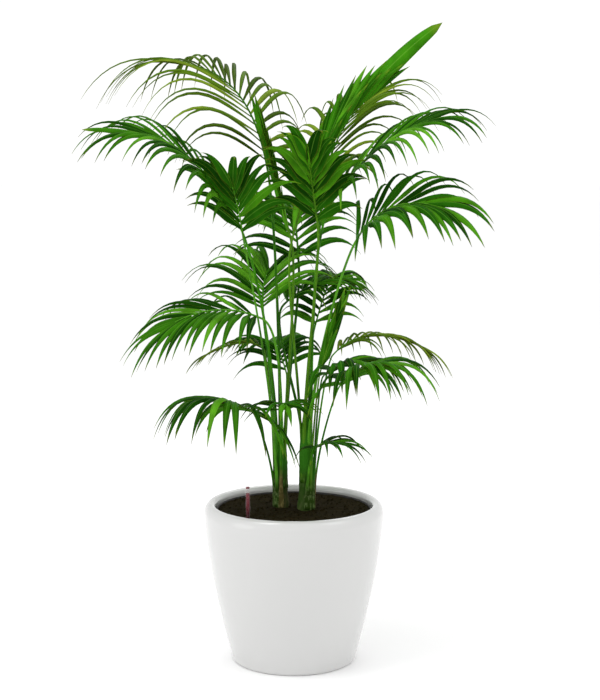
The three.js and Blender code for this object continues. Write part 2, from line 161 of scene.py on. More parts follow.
@dataclass(frozen=True)
class Finish:
    """A surface's finish: the constants of its shader, to which a kind of finish adds its pattern.

    Attributes:
        name: The material's name.
        colour: The base colour, as sRGB hex.
        roughness: How matt the surface is.
        ior: The index of refraction.
        coat: The weight of a clear glossy layer over the surface.
        alpha: How much of what lies behind the surface it hides.
        shine: How strongly it mirrors light, where 0.5 is what the index of refraction gives.
    """

    name: str
    colour: str
    roughness: float
    ior: float = 1.5
    coat: float = 0.0
    alpha: float = 1.0
    shine: float = 0.5

    def pattern(self, tree: bpy.types.NodeTree, shader: Node) -> None:
        """Adds nothing, for a finish with no pattern of its own."""

    def grain(self, tree: bpy.types.NodeTree, size: Triple, detail: float = 3.0) -> Node:
        """Adds a noise whose patches have a real size.

        Args:
            tree: The material's node tree.
            size: The size of a patch along X, Y and Z, in metres.
            detail: How many finer layers the noise has.

        Returns:
            The noise node.
        """
        place = add_node(tree, "ShaderNodeTexCoord")
        scaled = add_node(tree, "ShaderNodeMapping", {"Scale": tuple(1.0 / side for side in size)},
                          {"Vector": place.outputs["Object"]})
        return add_node(tree, "ShaderNodeTexNoise", {"Scale": 1.0, "Detail": detail, "Roughness": 0.6},
                        {"Vector": scaled.outputs["Vector"]})

    def height(self, tree: bpy.types.NodeTree) -> bpy.types.NodeSocket:
        """Returns the socket that gives the height above the floor."""
        place = add_node(tree, "ShaderNodeTexCoord")
        return add_node(tree, "ShaderNodeSeparateXYZ", None, {0: place.outputs["Object"]}).outputs["Z"]

    def range_of(self, tree: bpy.types.NodeTree, source: bpy.types.NodeSocket, start: float, end: float,
                 low: float = 0.0, high: float = 1.0) -> bpy.types.NodeSocket:
        """Maps a value from one range to another, held at both ends.

        Args:
            tree: The material's node tree.
            source: The value.
            start: The value that gives low.
            end: The value that gives high.
            low: The result at start.
            high: The result at end.

        Returns:
            The output socket.
        """
        node = add_node(tree, "ShaderNodeMapRange", {1: start, 2: end, 3: low, 4: high}, {"Value": source})
        return node.outputs["Result"]

    def tinted(self, tree: bpy.types.NodeTree, base: bpy.types.NodeSocket | str, tint: str,
               share: bpy.types.NodeSocket) -> bpy.types.NodeSocket:
        """Mixes a tint into a colour.

        Args:
            tree: The material's node tree.
            base: The colour as a socket, or as sRGB hex.
            tint: The tint, as sRGB hex.
            share: How much of the tint shows, from 0 to 1.

        Returns:
            The output socket with the mixed colour.
        """
        settings = {"data_type": "RGBA", 7: linear(tint)}
        links = {0: share}
        if isinstance(base, str):
            settings[6] = linear(base)
        else:
            links[6] = base
        return add_node(tree, "ShaderNodeMix", settings, links).outputs[2]

    def raised(self, tree: bpy.types.NodeTree, shader: Node, height: bpy.types.NodeSocket, depth: float,
               strength: float = 1.0) -> None:
        """Gives the shader a bump.

        Args:
            tree: The material's node tree.
            shader: The shader.
            height: The bump's height, from 0 to 1.
            depth: The real depth of the bump.
            strength: How strongly it shows.
        """
        bump = add_node(tree, "ShaderNodeBump", {"Strength": strength, "Distance": depth}, {"Height": height})
        tree.links.new(bump.outputs["Normal"], shader.inputs["Normal"])


@dataclass(frozen=True)
class MouldedGloss(Finish):
    """Polished injection-moulded plastic: clear reflections that waver a little, as from a good mould."""

    waver: float = 18 * MM

    def pattern(self, tree: bpy.types.NodeTree, shader: Node) -> None:
        """Adds the waver of the reflections and patches that are wiped less clean.

        Args:
            tree: The material's node tree.
            shader: The shader.
        """
        cloud = self.grain(tree, (3 * self.waver,) * 3)
        gloss = self.range_of(tree, cloud.outputs["Fac"], 0.35, 0.7, self.roughness, 1.7 * self.roughness)
        tree.links.new(gloss, shader.inputs["Roughness"])
        peel = self.grain(tree, (self.waver,) * 3, 1.0)
        self.raised(tree, shader, peel.outputs["Fac"], 0.12 * MM, 0.25)


@dataclass(frozen=True)
class MouldedMatt(Finish):
    """Dark polypropylene with a fine spark-eroded grain, dusted with a little dry soil."""

    dust: str = "#4a3f30"

    def pattern(self, tree: bpy.types.NodeTree, shader: Node) -> None:
        """Adds the mould's grain and the dust.

        Args:
            tree: The material's node tree.
            shader: The shader.
        """
        patch = self.grain(tree, (9 * MM,) * 3)
        share = self.range_of(tree, patch.outputs["Fac"], 0.5, 0.75, 0.0, 0.6)
        tree.links.new(self.tinted(tree, self.colour, self.dust, share), shader.inputs["Base Color"])
        self.raised(tree, shader, self.grain(tree, (0.8 * MM,) * 3).outputs["Fac"], 0.1 * MM, 0.5)


@dataclass(frozen=True)
class PottingSoil(Finish):
    """Moist peat and bark: nearly black, with brown fibres and a few lighter grains."""

    fibre: str = "#302810"
    light: str = "#54452c"

    def pattern(self, tree: bpy.types.NodeTree, shader: Node) -> None:
        """Adds the fibres, the lighter grains and their relief.

        Args:
            tree: The material's node tree.
            shader: The shader.
        """
        lumps = self.grain(tree, (7 * MM,) * 3, 5.0)
        share = self.range_of(tree, lumps.outputs["Fac"], 0.42, 0.7, 0.0, 0.55)
        brown = self.tinted(tree, self.colour, self.fibre, share)
        specks = self.grain(tree, (2.2 * MM,) * 3, 1.0)
        few = self.range_of(tree, specks.outputs["Fac"], 0.66, 0.74, 0.0, 0.35)
        tree.links.new(self.tinted(tree, brown, self.light, few), shader.inputs["Base Color"])
        self.raised(tree, shader, specks.outputs["Fac"], 0.8 * MM)


@dataclass(frozen=True)
class StemSheath(Finish):
    """Old leaf sheaths: grey-brown and fibrous at the foot, mottled green above."""

    bark: str = "#4f4a2c"
    pale: str = "#5f6e40"
    dark: str = "#16240a"
    fresh: str = "#2f7210"
    bark_top: float = 0.39
    bark_foot: float = 0.31
    fresh_foot: float = 0.345
    fresh_top: float = 0.385

    def pattern(self, tree: bpy.types.NodeTree, shader: Node) -> None:
        """Adds the change from bark to green, the mottling and the fibres.

        Args:
            tree: The material's node tree.
            shader: The shader.
        """
        height = self.height(tree)
        patch = self.grain(tree, (6 * MM, 6 * MM, 14 * MM), 4.0)
        streak = self.grain(tree, (1.6 * MM, 1.6 * MM, 45 * MM), 2.0)
        old = self.range_of(tree, height, self.bark_foot, self.bark_top, 1.0, 0.0)
        worn = add_node(tree, "ShaderNodeMath", {"operation": "MULTIPLY"},
                        {0: old, 1: self.range_of(tree, patch.outputs["Fac"], 0.3, 0.6)})
        colour = self.tinted(tree, self.colour, self.pale,
                             self.range_of(tree, patch.outputs["Fac"], 0.52, 0.75, 0.0, 0.5))
        colour = self.tinted(tree, colour, self.dark,
                             self.range_of(tree, streak.outputs["Fac"], 0.55, 0.75, 0.0, 0.6))
        colour = self.tinted(tree, colour, self.bark, worn.outputs[0])
        colour = self.tinted(tree, colour, self.fresh,
                             self.range_of(tree, height, self.fresh_foot, self.fresh_top, 0.0, 0.85))
        tree.links.new(colour, shader.inputs["Base Color"])
        self.raised(tree, shader, streak.outputs["Fac"], 0.5 * MM)


@dataclass(frozen=True)
class PalmStalk(Finish):
    """A living leaf stalk: waxy green with paler streaks along it."""

    streak: str = "#6aa528"
    shade: str = "#123a06"
    lichen: str = "#6f8350"
    foot: str = "#2a4210"
    foot_top: float = 0.364

    def pattern(self, tree: bpy.types.NodeTree, shader: Node) -> None:
        """Adds the streaks, the darker stretches and the fine ribs along the stalk.

        Args:
            tree: The material's node tree.
            shader: The shader.
        """
        long_noise = self.grain(tree, (1.8 * MM, 1.8 * MM, 70 * MM), 2.0)
        pale = self.range_of(tree, long_noise.outputs["Fac"], 0.5, 0.72, 0.0, 0.75)
        patch = self.grain(tree, (14 * MM, 14 * MM, 60 * MM), 2.0)
        deep = self.range_of(tree, patch.outputs["Fac"], 0.48, 0.72, 0.0, 0.8)
        colour = self.tinted(tree, self.colour, self.streak, pale)
        colour = self.tinted(tree, colour, self.shade, deep)
        mottle = self.grain(tree, (5 * MM, 5 * MM, 11 * MM), 3.0)
        old = self.tinted(tree, self.foot, self.lichen,
                          self.range_of(tree, mottle.outputs["Fac"], 0.47, 0.68, 0.0, 0.8))
        share = self.range_of(tree, self.height(tree), self.foot_top - 0.03, self.foot_top, 1.0, 0.0)
        blend = add_node(tree, "ShaderNodeMix", {"data_type": "RGBA"}, {0: share, 6: colour, 7: old})
        tree.links.new(blend.outputs[2], shader.inputs["Base Color"])
        self.raised(tree, shader, long_noise.outputs["Fac"], 0.25 * MM, 0.6)


@dataclass(frozen=True)
class PalmLeaflet(Finish):
    """A leaflet: satin green with a paler midrib, fine veins along it and a dry tip.

    The veins stand about 1 mm apart. They are drawn twice as far apart, so that they show.
    """

    shade: str = "#0a2c04"
    midrib: str = "#6fa838"
    edge: str = "#8f9a2e"
    margin: float = 0.22
    veins: float = 7.0

    def pattern(self, tree: bpy.types.NodeTree, shader: Node) -> None:
        """Adds the midrib, the margin, the tip and the veins, which follow the blade's own spread.

        Args:
            tree: The material's node tree.
            shader: The shader.
        """
        spread = add_node(tree, "ShaderNodeUVMap", {"uv_map": LeafBlade.SPREAD})
        split = add_node(tree, "ShaderNodeSeparateXYZ", None, {0: spread.outputs["UV"]})
        across, along = split.outputs["X"], split.outputs["Y"]
        centred = add_node(tree, "ShaderNodeMath", {"operation": "SUBTRACT", 1: 0.5}, {0: across})
        offset = add_node(tree, "ShaderNodeMath", {"operation": "ABSOLUTE"}, {0: centred.outputs[0]})
        patch = self.grain(tree, (50 * MM,) * 3, 2.0)
        darker = self.range_of(tree, patch.outputs["Fac"], 0.35, 0.7, 0.0, 0.5)
        colour = self.tinted(tree, self.colour, self.shade, darker)
        rib = self.range_of(tree, offset.outputs[0], 0.015, 0.05, 0.4, 0.0)
        colour = self.tinted(tree, colour, self.midrib, rib)
        margin = self.range_of(tree, offset.outputs[0], 0.43, 0.5, 0.0, self.margin)
        colour = self.tinted(tree, colour, self.edge, margin)
        tip = self.range_of(tree, along, 0.85, 1.0, 0.0, 2.5 * self.margin)
        tree.links.new(self.tinted(tree, colour, self.edge, tip), shader.inputs["Base Color"])
        phase = add_node(tree, "ShaderNodeMath", {"operation": "MULTIPLY", 1: self.veins * math.tau},
                         {0: across})
        wave = add_node(tree, "ShaderNodeMath", {"operation": "SINE"}, {0: phase.outputs[0]})
        self.raised(tree, shader, self.range_of(tree, wave.outputs[0], -1.0, 1.0), 0.2 * MM, 0.5)


@dataclass(frozen=True)
class StudioPaper(Finish):
    """Pale seamless paper with a barely visible tooth."""

    def pattern(self, tree: bpy.types.NodeTree, shader: Node) -> None:
        """Adds the paper's tooth.

        Args:
            tree: The material's node tree.
            shader: The shader.
        """
        self.raised(tree, shader, self.grain(tree, (2 * MM,) * 3, 1.0).outputs["Fac"], 0.05 * MM, 0.2)


# ABS, injection moulded and polished: bright, with soft-edged reflections
PLANTER_ABS = MouldedGloss("glossy_white_abs", "#c9c9c8", 0.16, ior=1.5, coat=0.7)
# Polypropylene, moulded with a fine grain: nearly black, with no clear reflection
INSERT_PP = MouldedMatt("dark_grained_polypropylene", "#1d1b19", 0.55, ior=1.49)
# Peat and bark: dark and rough, with no shine
BED_SOIL = PottingSoil("moist_potting_soil", "#1f1b0d", 0.98, shine=0.03)
# Acrylic, extruded: clear and colourless, seen by its edges and its highlights
TUBE_ACRYLIC = Finish("clear_acrylic", "#f3e2e5", 0.06, ior=1.49, alpha=0.05)
# Polystyrene, moulded: a dark red bar that reads through the tube
FLOAT_RED = MouldedGloss("dark_red_polystyrene", "#6e0a1e", 0.5, ior=1.55, shine=0.1, waver=4 * MM)
# Old leaf sheaths: fibrous and matt, brown at the foot
OLD_SHEATH = StemSheath("fibrous_old_sheath", "#26400e", 0.7, shine=0.08)
# The younger stem's sheaths: still green, mottled, brown only at the soil
GREEN_SHEATH = StemSheath("mottled_green_sheath", "#2b4c10", 0.7, shine=0.08, bark="#4b5a2e",
                          bark_top=0.345, bark_foot=0.29)
# Living stalks: a waxy skin with a soft sheen, in a darker copy with painted shade (old), a plain one whose
# foot is browner (grown), a lighter copy with painted light (young) and an olive one (sunned)
STALK_SKINS = tuple(PalmStalk(f"waxy_palm_stalk_{painted_light_and_hue}", colour, 0.4, ior=1.4, shine=0.05, **foot)
                    for painted_light_and_hue, colour, foot in (
                        ("old", "#256009", {}),
                        ("grown", "#388210", {"foot": "#57502a", "lichen": "#857b4e", "foot_top": 0.385}),
                        ("young", "#539726", {}),
                        ("sunned", "#4a7a16", {})))
# Uncoated paper: a pale ground with no shine
GROUND_PAPER = StudioPaper("studio_paper", "#fafafa", 0.95, shine=0.1)


class Tone(Enum):
    """The greens of the fronds: a slot, how yellow the edges are, and three leaflet colours: with painted
    shade, plain, and with painted light.
    """

    # Each row: the slot, the edges' yellowing, the colour with painted shade, the plain colour and the colour
    # with painted light
    DEEP = ("leaf_deep", 0.22, "#144203", "#276609", "#488d12")
    MID = ("leaf_mid", 0.22, "#184904", "#36750d", "#5ca220")
    BRIGHT = ("leaf_bright", 0.22, "#286708", "#3e8a10", "#58a31e")
    OLIVE = ("leaf_olive", 0.3, "#3c530c", "#557517", "#7a9429")

    @property
    def slot(self) -> str:
        """The record's slot for fronds of this tone."""
        return self.value[0]

    def finishes(self) -> list[PalmLeaflet]:
        """Returns this tone's leaflet finishes: with painted shade, plain, and with painted light."""
        # Living leaflets: a satin skin that shows a paler midrib and a yellowed edge; one copy is darkened as
        # painted shade and one is lightened as painted light
        _, margin, *colours = self.value
        return [PalmLeaflet(f"{self.slot}_{shade}", colour, 0.42, ior=1.4, shine=0.015, margin=margin)
                for shade, colour in zip(("shaded", "usual", "bright"), colours)]


@cache
def dressed(finish: Finish) -> bpy.types.Material:
    """Makes the material of a finish, once.

    Args:
        finish: The finish.

    Returns:
        The material.
    """
    material = bpy.data.materials.new(finish.name)
    material.use_nodes = True
    shader = material.node_tree.nodes["Principled BSDF"]
    constants = {"Base Color": linear(finish.colour), "Roughness": finish.roughness, "IOR": finish.ior,
                 "Coat Weight": finish.coat, "Alpha": finish.alpha,
                 "Specular IOR Level": finish.shine}
    for socket, value in constants.items():
        shader.inputs[socket].default_value = value
    finish.pattern(material.node_tree, shader)
    return material


def skin(bm: bmesh.types.BMesh, across: int, along: int, place: Place) -> list[bmesh.types.BMFace]:
    """Lays a grid of faces over a surface.

    Args:
        bm: The mesh that the grid is added to.
        across: The number of faces across.
        along: The number of faces along.
        place: Gives the point at a share across and a share along.

    Returns:
        The new faces.
    """
    laid = bmesh.ops.create_grid(bm, x_segments=across, y_segments=along, size=0.5, calc_uvs=True)
    for vertex in laid["verts"]:
        vertex.co = place(vertex.co.x + 0.5, vertex.co.y + 0.5)
    return list({face for vertex in laid["verts"] for face in vertex.link_faces})


def turned(bm: bmesh.types.BMesh, profile: Sequence[tuple[float, float]], facets: int,
           centre: tuple[float, float] = (0.0, 0.0)) -> None:
    """Turns a profile about an upright axis.

    Args:
        bm: The mesh that the turned shape is added to.
        profile: Radius and height of each point, from the axis back to the axis.
        facets: The number of facets round.
        centre: Where the axis stands.
    """
    axis = Vector((*centre, 0.0))
    points = [bm.verts.new(axis + Vector((radius, 0.0, height))) for radius, height in profile]
    edges = [bm.edges.new(pair) for pair in zip(points, points[1:])]
    bmesh.ops.spin(bm, geom=points + edges, cent=axis, axis=UP, dvec=(0.0, 0.0, 0.0), angle=math.tau,
                   steps=facets, use_merge=True, use_duplicate=False)
    bmesh.ops.remove_doubles(bm, verts=bm.verts, dist=WELD)


@dataclass(frozen=True)
class Piece:
    """A finished piece: its name, what it is finished with and what it stands for.

    Attributes:
        name: The object's name.
        finishes: One finish for each material number in the mesh.
        slot: The record's slot, which is not used.
        nodes: The CAD nodes that the piece replaces.
        closed: Whether the mesh is made of closed shells.
    """

    name: str
    finishes: tuple[Finish, ...]
    slot: str
    nodes: tuple[str, ...] = ()
    closed: bool = True

    def add(self, bm: bmesh.types.BMesh) -> bpy.types.Object:
        """Makes the object from its mesh and fits it to the frame.

        Args:
            bm: The mesh, which is freed.

        Returns:
            The object.
        """
        if self.closed:
            bmesh.ops.recalc_face_normals(bm, faces=bm.faces)
        mesh = bpy.data.meshes.new(self.name)
        bm.to_mesh(mesh)
        bm.free()
        for finish in self.finishes:
            mesh.materials.append(dressed(finish))
        mesh.shade_smooth()
        piece = bpy.data.objects.new(self.name, mesh)
        bpy.context.scene.collection.objects.link(piece)
        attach(piece, BODY)
        self.slot
        if self.nodes:
            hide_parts(*self.nodes)
        LOG.info("%s: %d faces", self.name, len(mesh.polygons))
        return piece


def new_mesh() -> bmesh.types.BMesh:
    """Returns an empty mesh with the map that the materials read."""
    bm = bmesh.new()
    bm.loops.layers.uv.new(LeafBlade.SPREAD)
    return bm


@dataclass(frozen=True)
class Bezier:
    """A Bezier curve of any degree."""

    controls: tuple[Vector, ...]

    def _reduced(self, share: float, left: int) -> list[Vector]:
        """Draws the controls together until only some are left.

        Args:
            share: The share of the way along.
            left: How many points are left.

        Returns:
            Those points.
        """
        points = list(self.controls)
        while len(points) > left:
            points = [start.lerp(end, share) for start, end in zip(points, points[1:])]
        return points

    def point(self, share: float) -> Vector:
        """Returns the point at a share of the way along."""
        return self._reduced(share, 1)[0]

    def tangent(self, share: float) -> Vector:
        """Returns the direction at a share of the way along."""
        start, end = self._reduced(share, 2)
        return (end - start).normalized()


@dataclass(frozen=True)
class Planter:
    """The round planter with its rolled lip, and the dark insert that hangs inside it.

    Attributes:
        foot_radius: The radius of the flat underside.
        foot_corner: The height of the rounded corner at the foot.
        foot_spread: How far that corner widens.
        belly_drop: How far the widest place lies below the rim.
        wall_curve: How quickly the wall swells.
        wall: The thickness of the wall.
        floor: The thickness of the floor.
        crest_inset: How far the rim's crest lies inside the widest place.
        lip_inset: How far the lip's inner edge lies inside the widest place.
        lip_drop: The height of the lip's inner corner.
        lip_depth: How far the lip reaches down inside.
        insert_wall: The thickness of the insert.
        insert_foot: The radius of the insert's floor.
        facets: The number of facets round.
        wall_rows: The number of rows up the wall.
        foot_rows: The number of rows round the corner at the foot.
        crest_rows: The number of rows from the widest place to the rim's crest.
        lip_rows: The number of rows from the crest to the lip's inner edge, and over the insert's rim.
    """

    foot_radius: float = 0.116
    foot_corner: float = 0.008
    foot_spread: float = 0.006
    belly_drop: float = 0.021
    wall_curve: float = 1.465
    wall: float = 0.005
    floor: float = 0.008
    crest_inset: float = 0.013
    lip_inset: float = 0.023
    lip_drop: float = 0.009
    lip_depth: float = 0.020
    insert_wall: float = 0.003
    insert_foot: float = 0.100
    facets: int = 128
    wall_rows: int = 36
    foot_rows: int = 6
    crest_rows: int = 12
    lip_rows: int = 8

    def wall_radius(self, height: float, belly: float, belly_height: float) -> float:
        """Returns the radius of the wall at a height, where it swells from the foot to the belly.

        Args:
            height: The height.
            belly: The greatest radius.
            belly_height: The height of the greatest radius.

        Returns:
            The radius.
        """
        foot = self.foot_radius + self.foot_spread
        rise = (height - self.foot_corner) / (belly_height - self.foot_corner)
        return belly - (belly - foot) * (1.0 - rise) ** self.wall_curve

    def shell_profile(self) -> list[tuple[float, float]]:
        """Returns the shell's profile, from the middle of its underside to the middle of its floor."""
        lowest, highest = corners("planter_shell")
        belly, rim = highest.x, highest.z
        belly_height = rim - self.belly_drop
        profile = [(0.0, lowest.z), (self.foot_radius - self.foot_corner, lowest.z)]
        for angle in arc(-90, 0, self.foot_rows):
            profile.append((self.foot_radius + self.foot_spread * math.cos(angle),
                            self.foot_corner * (1 + math.sin(angle))))
        for row in range(1, self.wall_rows + 1):
            height = mixed(self.foot_corner, belly_height, row / self.wall_rows)
            profile.append((self.wall_radius(height, belly, belly_height), height))
        crest, lip = belly - self.crest_inset, belly - self.lip_inset
        for angle in arc(0, 90, self.crest_rows, 1):
            profile.append((crest + self.crest_inset * math.cos(angle),
                            belly_height + self.belly_drop * math.sin(angle)))
        for angle in arc(90, 180, self.lip_rows, 1):
            profile.append((crest + (crest - lip) * math.cos(angle),
                            rim - self.lip_drop + self.lip_drop * math.sin(angle)))
        profile.append((lip, rim - self.lip_depth))
        for row in range(self.wall_rows + 1):
            height = mixed(rim - self.lip_depth - self.wall, self.floor, row / self.wall_rows)
            profile.append((self.wall_radius(height, belly, belly_height) - self.wall, height))
        profile.append((0.0, self.floor))
        return profile

    def insert_profile(self) -> list[tuple[float, float]]:
        """Returns the insert's profile, with a rounded rim."""
        lowest, highest = corners("insert_pot")
        rim, top, floor = highest.x, highest.z, lowest.z
        shoulder = corners("planter_shell")[1].z - self.lip_depth - self.wall
        mouth, round_rim = rim - self.insert_wall, 0.5 * self.insert_wall
        profile = [(0.0, floor), (self.insert_foot, floor), (rim - self.insert_wall, shoulder)]
        for angle in arc(0, 180, self.lip_rows):
            profile.append((rim - round_rim + round_rim * math.cos(angle),
                            top - round_rim + round_rim * math.sin(angle)))
        profile += [(mouth - self.insert_wall, shoulder),
                    (self.insert_foot - self.insert_wall, floor + self.insert_wall),
                    (0.0, floor + self.insert_wall)]
        return profile

    def build(self) -> None:
        """Builds the shell and the insert."""
        for name, finish, slot, node, profile in (
                ("glossy_planter", PLANTER_ABS, "planter_gloss", "planter_shell", self.shell_profile()),
                ("dark_insert", INSERT_PP, "insert_dark", "insert_pot", self.insert_profile())):
            bm = new_mesh()
            turned(bm, profile, self.facets)
            Piece(name, (finish,), slot, (node,)).add(bm)


@dataclass(frozen=True)
class SoilBed:
    """The soil: a bed with an uneven top, and crumbs of bark and peat on it.

    Attributes:
        relief: How far the top rises and falls.
        lump: The size of its lumps.
        underside: The radius of its underside, as a share of its top's.
        side_top: How far below the top its side ends.
        facets: The number of facets round.
        rows: The number of rows on its top and on its side.
        crumbs: The number of crumbs.
        crumb: The smallest and the greatest radius of a crumb.
        seed: The seed of the crumbs' places.
    """

    relief: float = 2.6 * MM
    lump: float = 14 * MM
    underside: float = 0.66
    side_top: float = 12 * MM
    facets: int = 112
    rows: tuple[int, int] = (44, 4)
    crumbs: int = 620
    crumb: tuple[float, float] = (0.9 * MM, 2.9 * MM)
    seed: int = 11

    def top(self, x: float, y: float) -> float:
        """Returns the height of the soil's top at a place."""
        level = corners("soil")[1].z
        coarse = noise.noise(Vector((x, y, 0.0)) / self.lump)
        fine = noise.noise(Vector((x, y, 3.0)) / (0.3 * self.lump))
        return level + self.relief * (0.7 * coarse + 0.3 * fine - 0.3)

    def build(self) -> None:
        """Builds the bed and the crumbs."""
        lowest, highest = corners("soil")
        edge, (rows, sunk) = highest.x, self.rows
        bm = new_mesh()

        def place(across: float, along: float) -> Vector:
            """Lays a point on the bed.

            Args:
                across: The share of the way round it.
                along: The share of the way from the middle of its underside to the middle of its top.

            Returns:
                The point.
            """
            row = round(along * (rows + sunk))
            angle = math.tau * across
            share = min(row, sunk - 1) / sunk if row < sunk else 1.0 - (row - sunk) / rows
            radius = edge * (mixed(self.underside, 1.0, share) if 0 < row < sunk else share)
            x, y = radius * math.cos(angle), radius * math.sin(angle)
            height = self.top(x, y) if row >= sunk else mixed(lowest.z, highest.z - self.side_top, share)
            return Vector((x, y, height))

        skin(bm, self.facets, rows + sunk, place)
        bmesh.ops.remove_doubles(bm, verts=bm.verts, dist=WELD)
        Piece("soil_bed", (BED_SOIL,), "potting_soil", ("soil",)).add(bm)
        self.build_crumbs(edge)

    def build_crumbs(self, edge: float) -> None:
        """Strews the crumbs.

        Args:
            edge: The radius of the soil's top.
        """
        draw = random.Random(self.seed)
        bm = new_mesh()
        for _ in range(self.crumbs):
            radius = mixed(*self.crumb, draw.random() ** 2)
            reach, angle = (edge - 2 * radius) * math.sqrt(draw.random()), draw.uniform(0.0, math.tau)
            x, y = reach * math.cos(angle), reach * math.sin(angle)
            shape = (Matrix.Translation((x, y, self.top(x, y) + 0.3 * radius))
                     @ Euler([draw.uniform(0.0, math.tau) for _ in range(3)]).to_matrix().to_4x4()
                     @ Matrix.Diagonal((draw.uniform(0.8, 1.9), draw.uniform(0.6, 1.1), 0.6, 1.0)))
            bmesh.ops.create_icosphere(bm, subdivisions=1, radius=radius, matrix=shape)
        Piece("soil_crumbs", (BED_SOIL,), "potting_soil").add(bm)


@dataclass(frozen=True)
class Gauge:
    """The water level gauge: a clear tube with a red float, and a fine red ring inside the tube near its top.

    Attributes:
        wall: The thickness of the tube.
        floor: The thickness of its foot.
        corner: The radius of its rounded end.
        ring_drop: How far the red ring lies below the top of the tube.
        ring_height: The height of the ring.
        play: The play between the ring and the tube.
        facets: The number of facets round.
    """

    wall: float = 1.4 * MM
    floor: float = 2.0 * MM
    corner: float = 0.6 * MM
    ring_drop: float = 14 * MM
    ring_height: float = 3 * MM
    play: float = 0.3 * MM
    facets: int = 40

    def build(self) -> None:
        """Builds the tube, the float and the ring."""
        low, high = corners("gauge_tube")
        float_low, float_high = corners("gauge_float")
        centre = (0.5 * (low.x + high.x), 0.5 * (low.y + high.y))
        radius = 0.5 * (high.y - low.y)
        bore = radius - self.wall
        tube = [(0.0, low.z), (radius - self.corner, low.z), (radius, low.z + self.corner),
                (radius, high.z - 2 * self.corner), (radius - self.corner, high.z), (bore, high.z),
                (bore, low.z + self.floor), (0.0, low.z + self.floor)]
        rod = 0.5 * (float_high.y - float_low.y)
        floated = [(0.0, float_low.z), (rod, float_low.z), (rod, float_high.z - self.corner),
                   (rod - self.corner, float_high.z), (0.0, float_high.z)]
        ring_high, inner = high.z - self.ring_drop, bore - self.play
        ring_low = ring_high - self.ring_height
        ring = [(0.0, ring_low), (inner, ring_low), (inner, ring_high), (0.0, ring_high)]
        for name, profile, finish, slot, nodes in (
                ("gauge_clear_tube", tube, TUBE_ACRYLIC, "gauge_clear", ("gauge_tube",)),
                ("gauge_red_float", floated, FLOAT_RED, "gauge_red", ("gauge_float",)),
                ("gauge_red_mark", ring, FLOAT_RED, "gauge_red", ())):
            bm = new_mesh()
            turned(bm, profile, self.facets, centre)
            Piece(name, (finish,), slot, nodes).add(bm)


class Ring(Enum):
    """Where a stalk leaves its stem: from the rim of its top, or from its side near the soil."""

    TOP = "top"
    SIDE = "side"


@dataclass(frozen=True)
class Stem:
    """A short stem, wrapped in the old sheaths of its leaves.

    Attributes:
        node: The CAD node that it replaces.
        top_radius: The radius at its top.
        finish: The look of its sheaths.
        bud: How far its middle rises above the top.
        taper: How far below the top it starts to narrow, so that the stalks stand out.
        flare: The share of its height over which its foot widens.
        sunk: How far it reaches into the soil.
        scar: The height between two ring scars.
        relief: How far the sheaths' edges, the scars and the fibres stand out together.
        shares: The shares of that relief that the edges, the scars and the fibres have.
        facets: The number of facets round.
        rows: The number of rows along.
    """

    node: str
    top_radius: float
    finish: StemSheath
    bud: float = 0.030
    taper: float = 0.030
    flare: float = 0.35
    sunk: float = 3 * MM
    scar: float = 0.013
    relief: float = 0.9 * MM
    shares: Triple = (0.9, 0.35, 0.6)
    facets: int = 56
    rows: int = 96

    @cached_property
    def centre(self) -> Vector:
        """The middle of the foot."""
        low, high = corners(self.node)
        return Vector((0.5 * (low.x + high.x), 0.5 * (low.y + high.y), low.z))

    @cached_property
    def top(self) -> float:
        """The height of the top."""
        return corners(self.node)[1].z

    @cached_property
    def foot_radius(self) -> float:
        """The radius at the foot."""
        low, high = corners(self.node)
        return 0.5 * (high.x - low.x)

    def radius(self, height: float) -> float:
        """Returns the stem's radius at a height, without its relief."""
        share = (height - self.centre.z) / (self.top - self.centre.z)
        return mixed(self.foot_radius, self.top_radius, smooth(share / self.flare))

    def build(self) -> None:
        """Builds the stem, with its relief in the mesh."""
        centre, foot, crown = self.centre, self.centre.z - self.sunk, self.top + self.bud
        edge_share, scar_share, fibre_share = self.shares

        def place(across: float, along: float) -> Vector:
            """Lays a point on the stem's skin.

            Args:
                across: The share of the way round it.
                along: The share of the way up it.

            Returns:
                The point.
            """
            row = round(along * self.rows)
            height = mixed(foot, crown, max(0, row - 1) / (self.rows - 1))
            angle = math.tau * across
            narrowed = smooth((height - self.top + self.taper) / (crown - self.top + self.taper))
            ends = 0.0 if row == 0 else 1.0 - narrowed ** 1.5
            wrap = (across * 2 + height / (5 * self.scar)) % 1.0
            scar = max(0.0, 1.0 - 6 * abs((height / self.scar + 0.15 * math.sin(2 * angle)) % 1.0 - 0.5))
            fibre = noise.noise(Vector((9 * math.cos(angle), 9 * math.sin(angle), 14 * height)))
            edge = smooth(4 * wrap) * (1.0 - wrap)
            stands = self.relief * (edge_share * edge + scar_share * scar + fibre_share * fibre)
            radius = max(0.0, (self.radius(height) + stands) * ends)
            return centre + Vector((radius * math.cos(angle), radius * math.sin(angle), height - centre.z))

        bm = new_mesh()
        skin(bm, self.facets, self.rows, place)
        bmesh.ops.remove_doubles(bm, verts=bm.verts, dist=WELD)
        Piece(f"sheathed_{self.node}", (self.finish,), "stem_sheath", (self.node,)).add(bm)


LEFT = Stem("stem_left", 0.0125, OLD_SHEATH, bud=0.120)
RIGHT = Stem("stem_right", 0.0135, GREEN_SHEATH, bud=0.150)


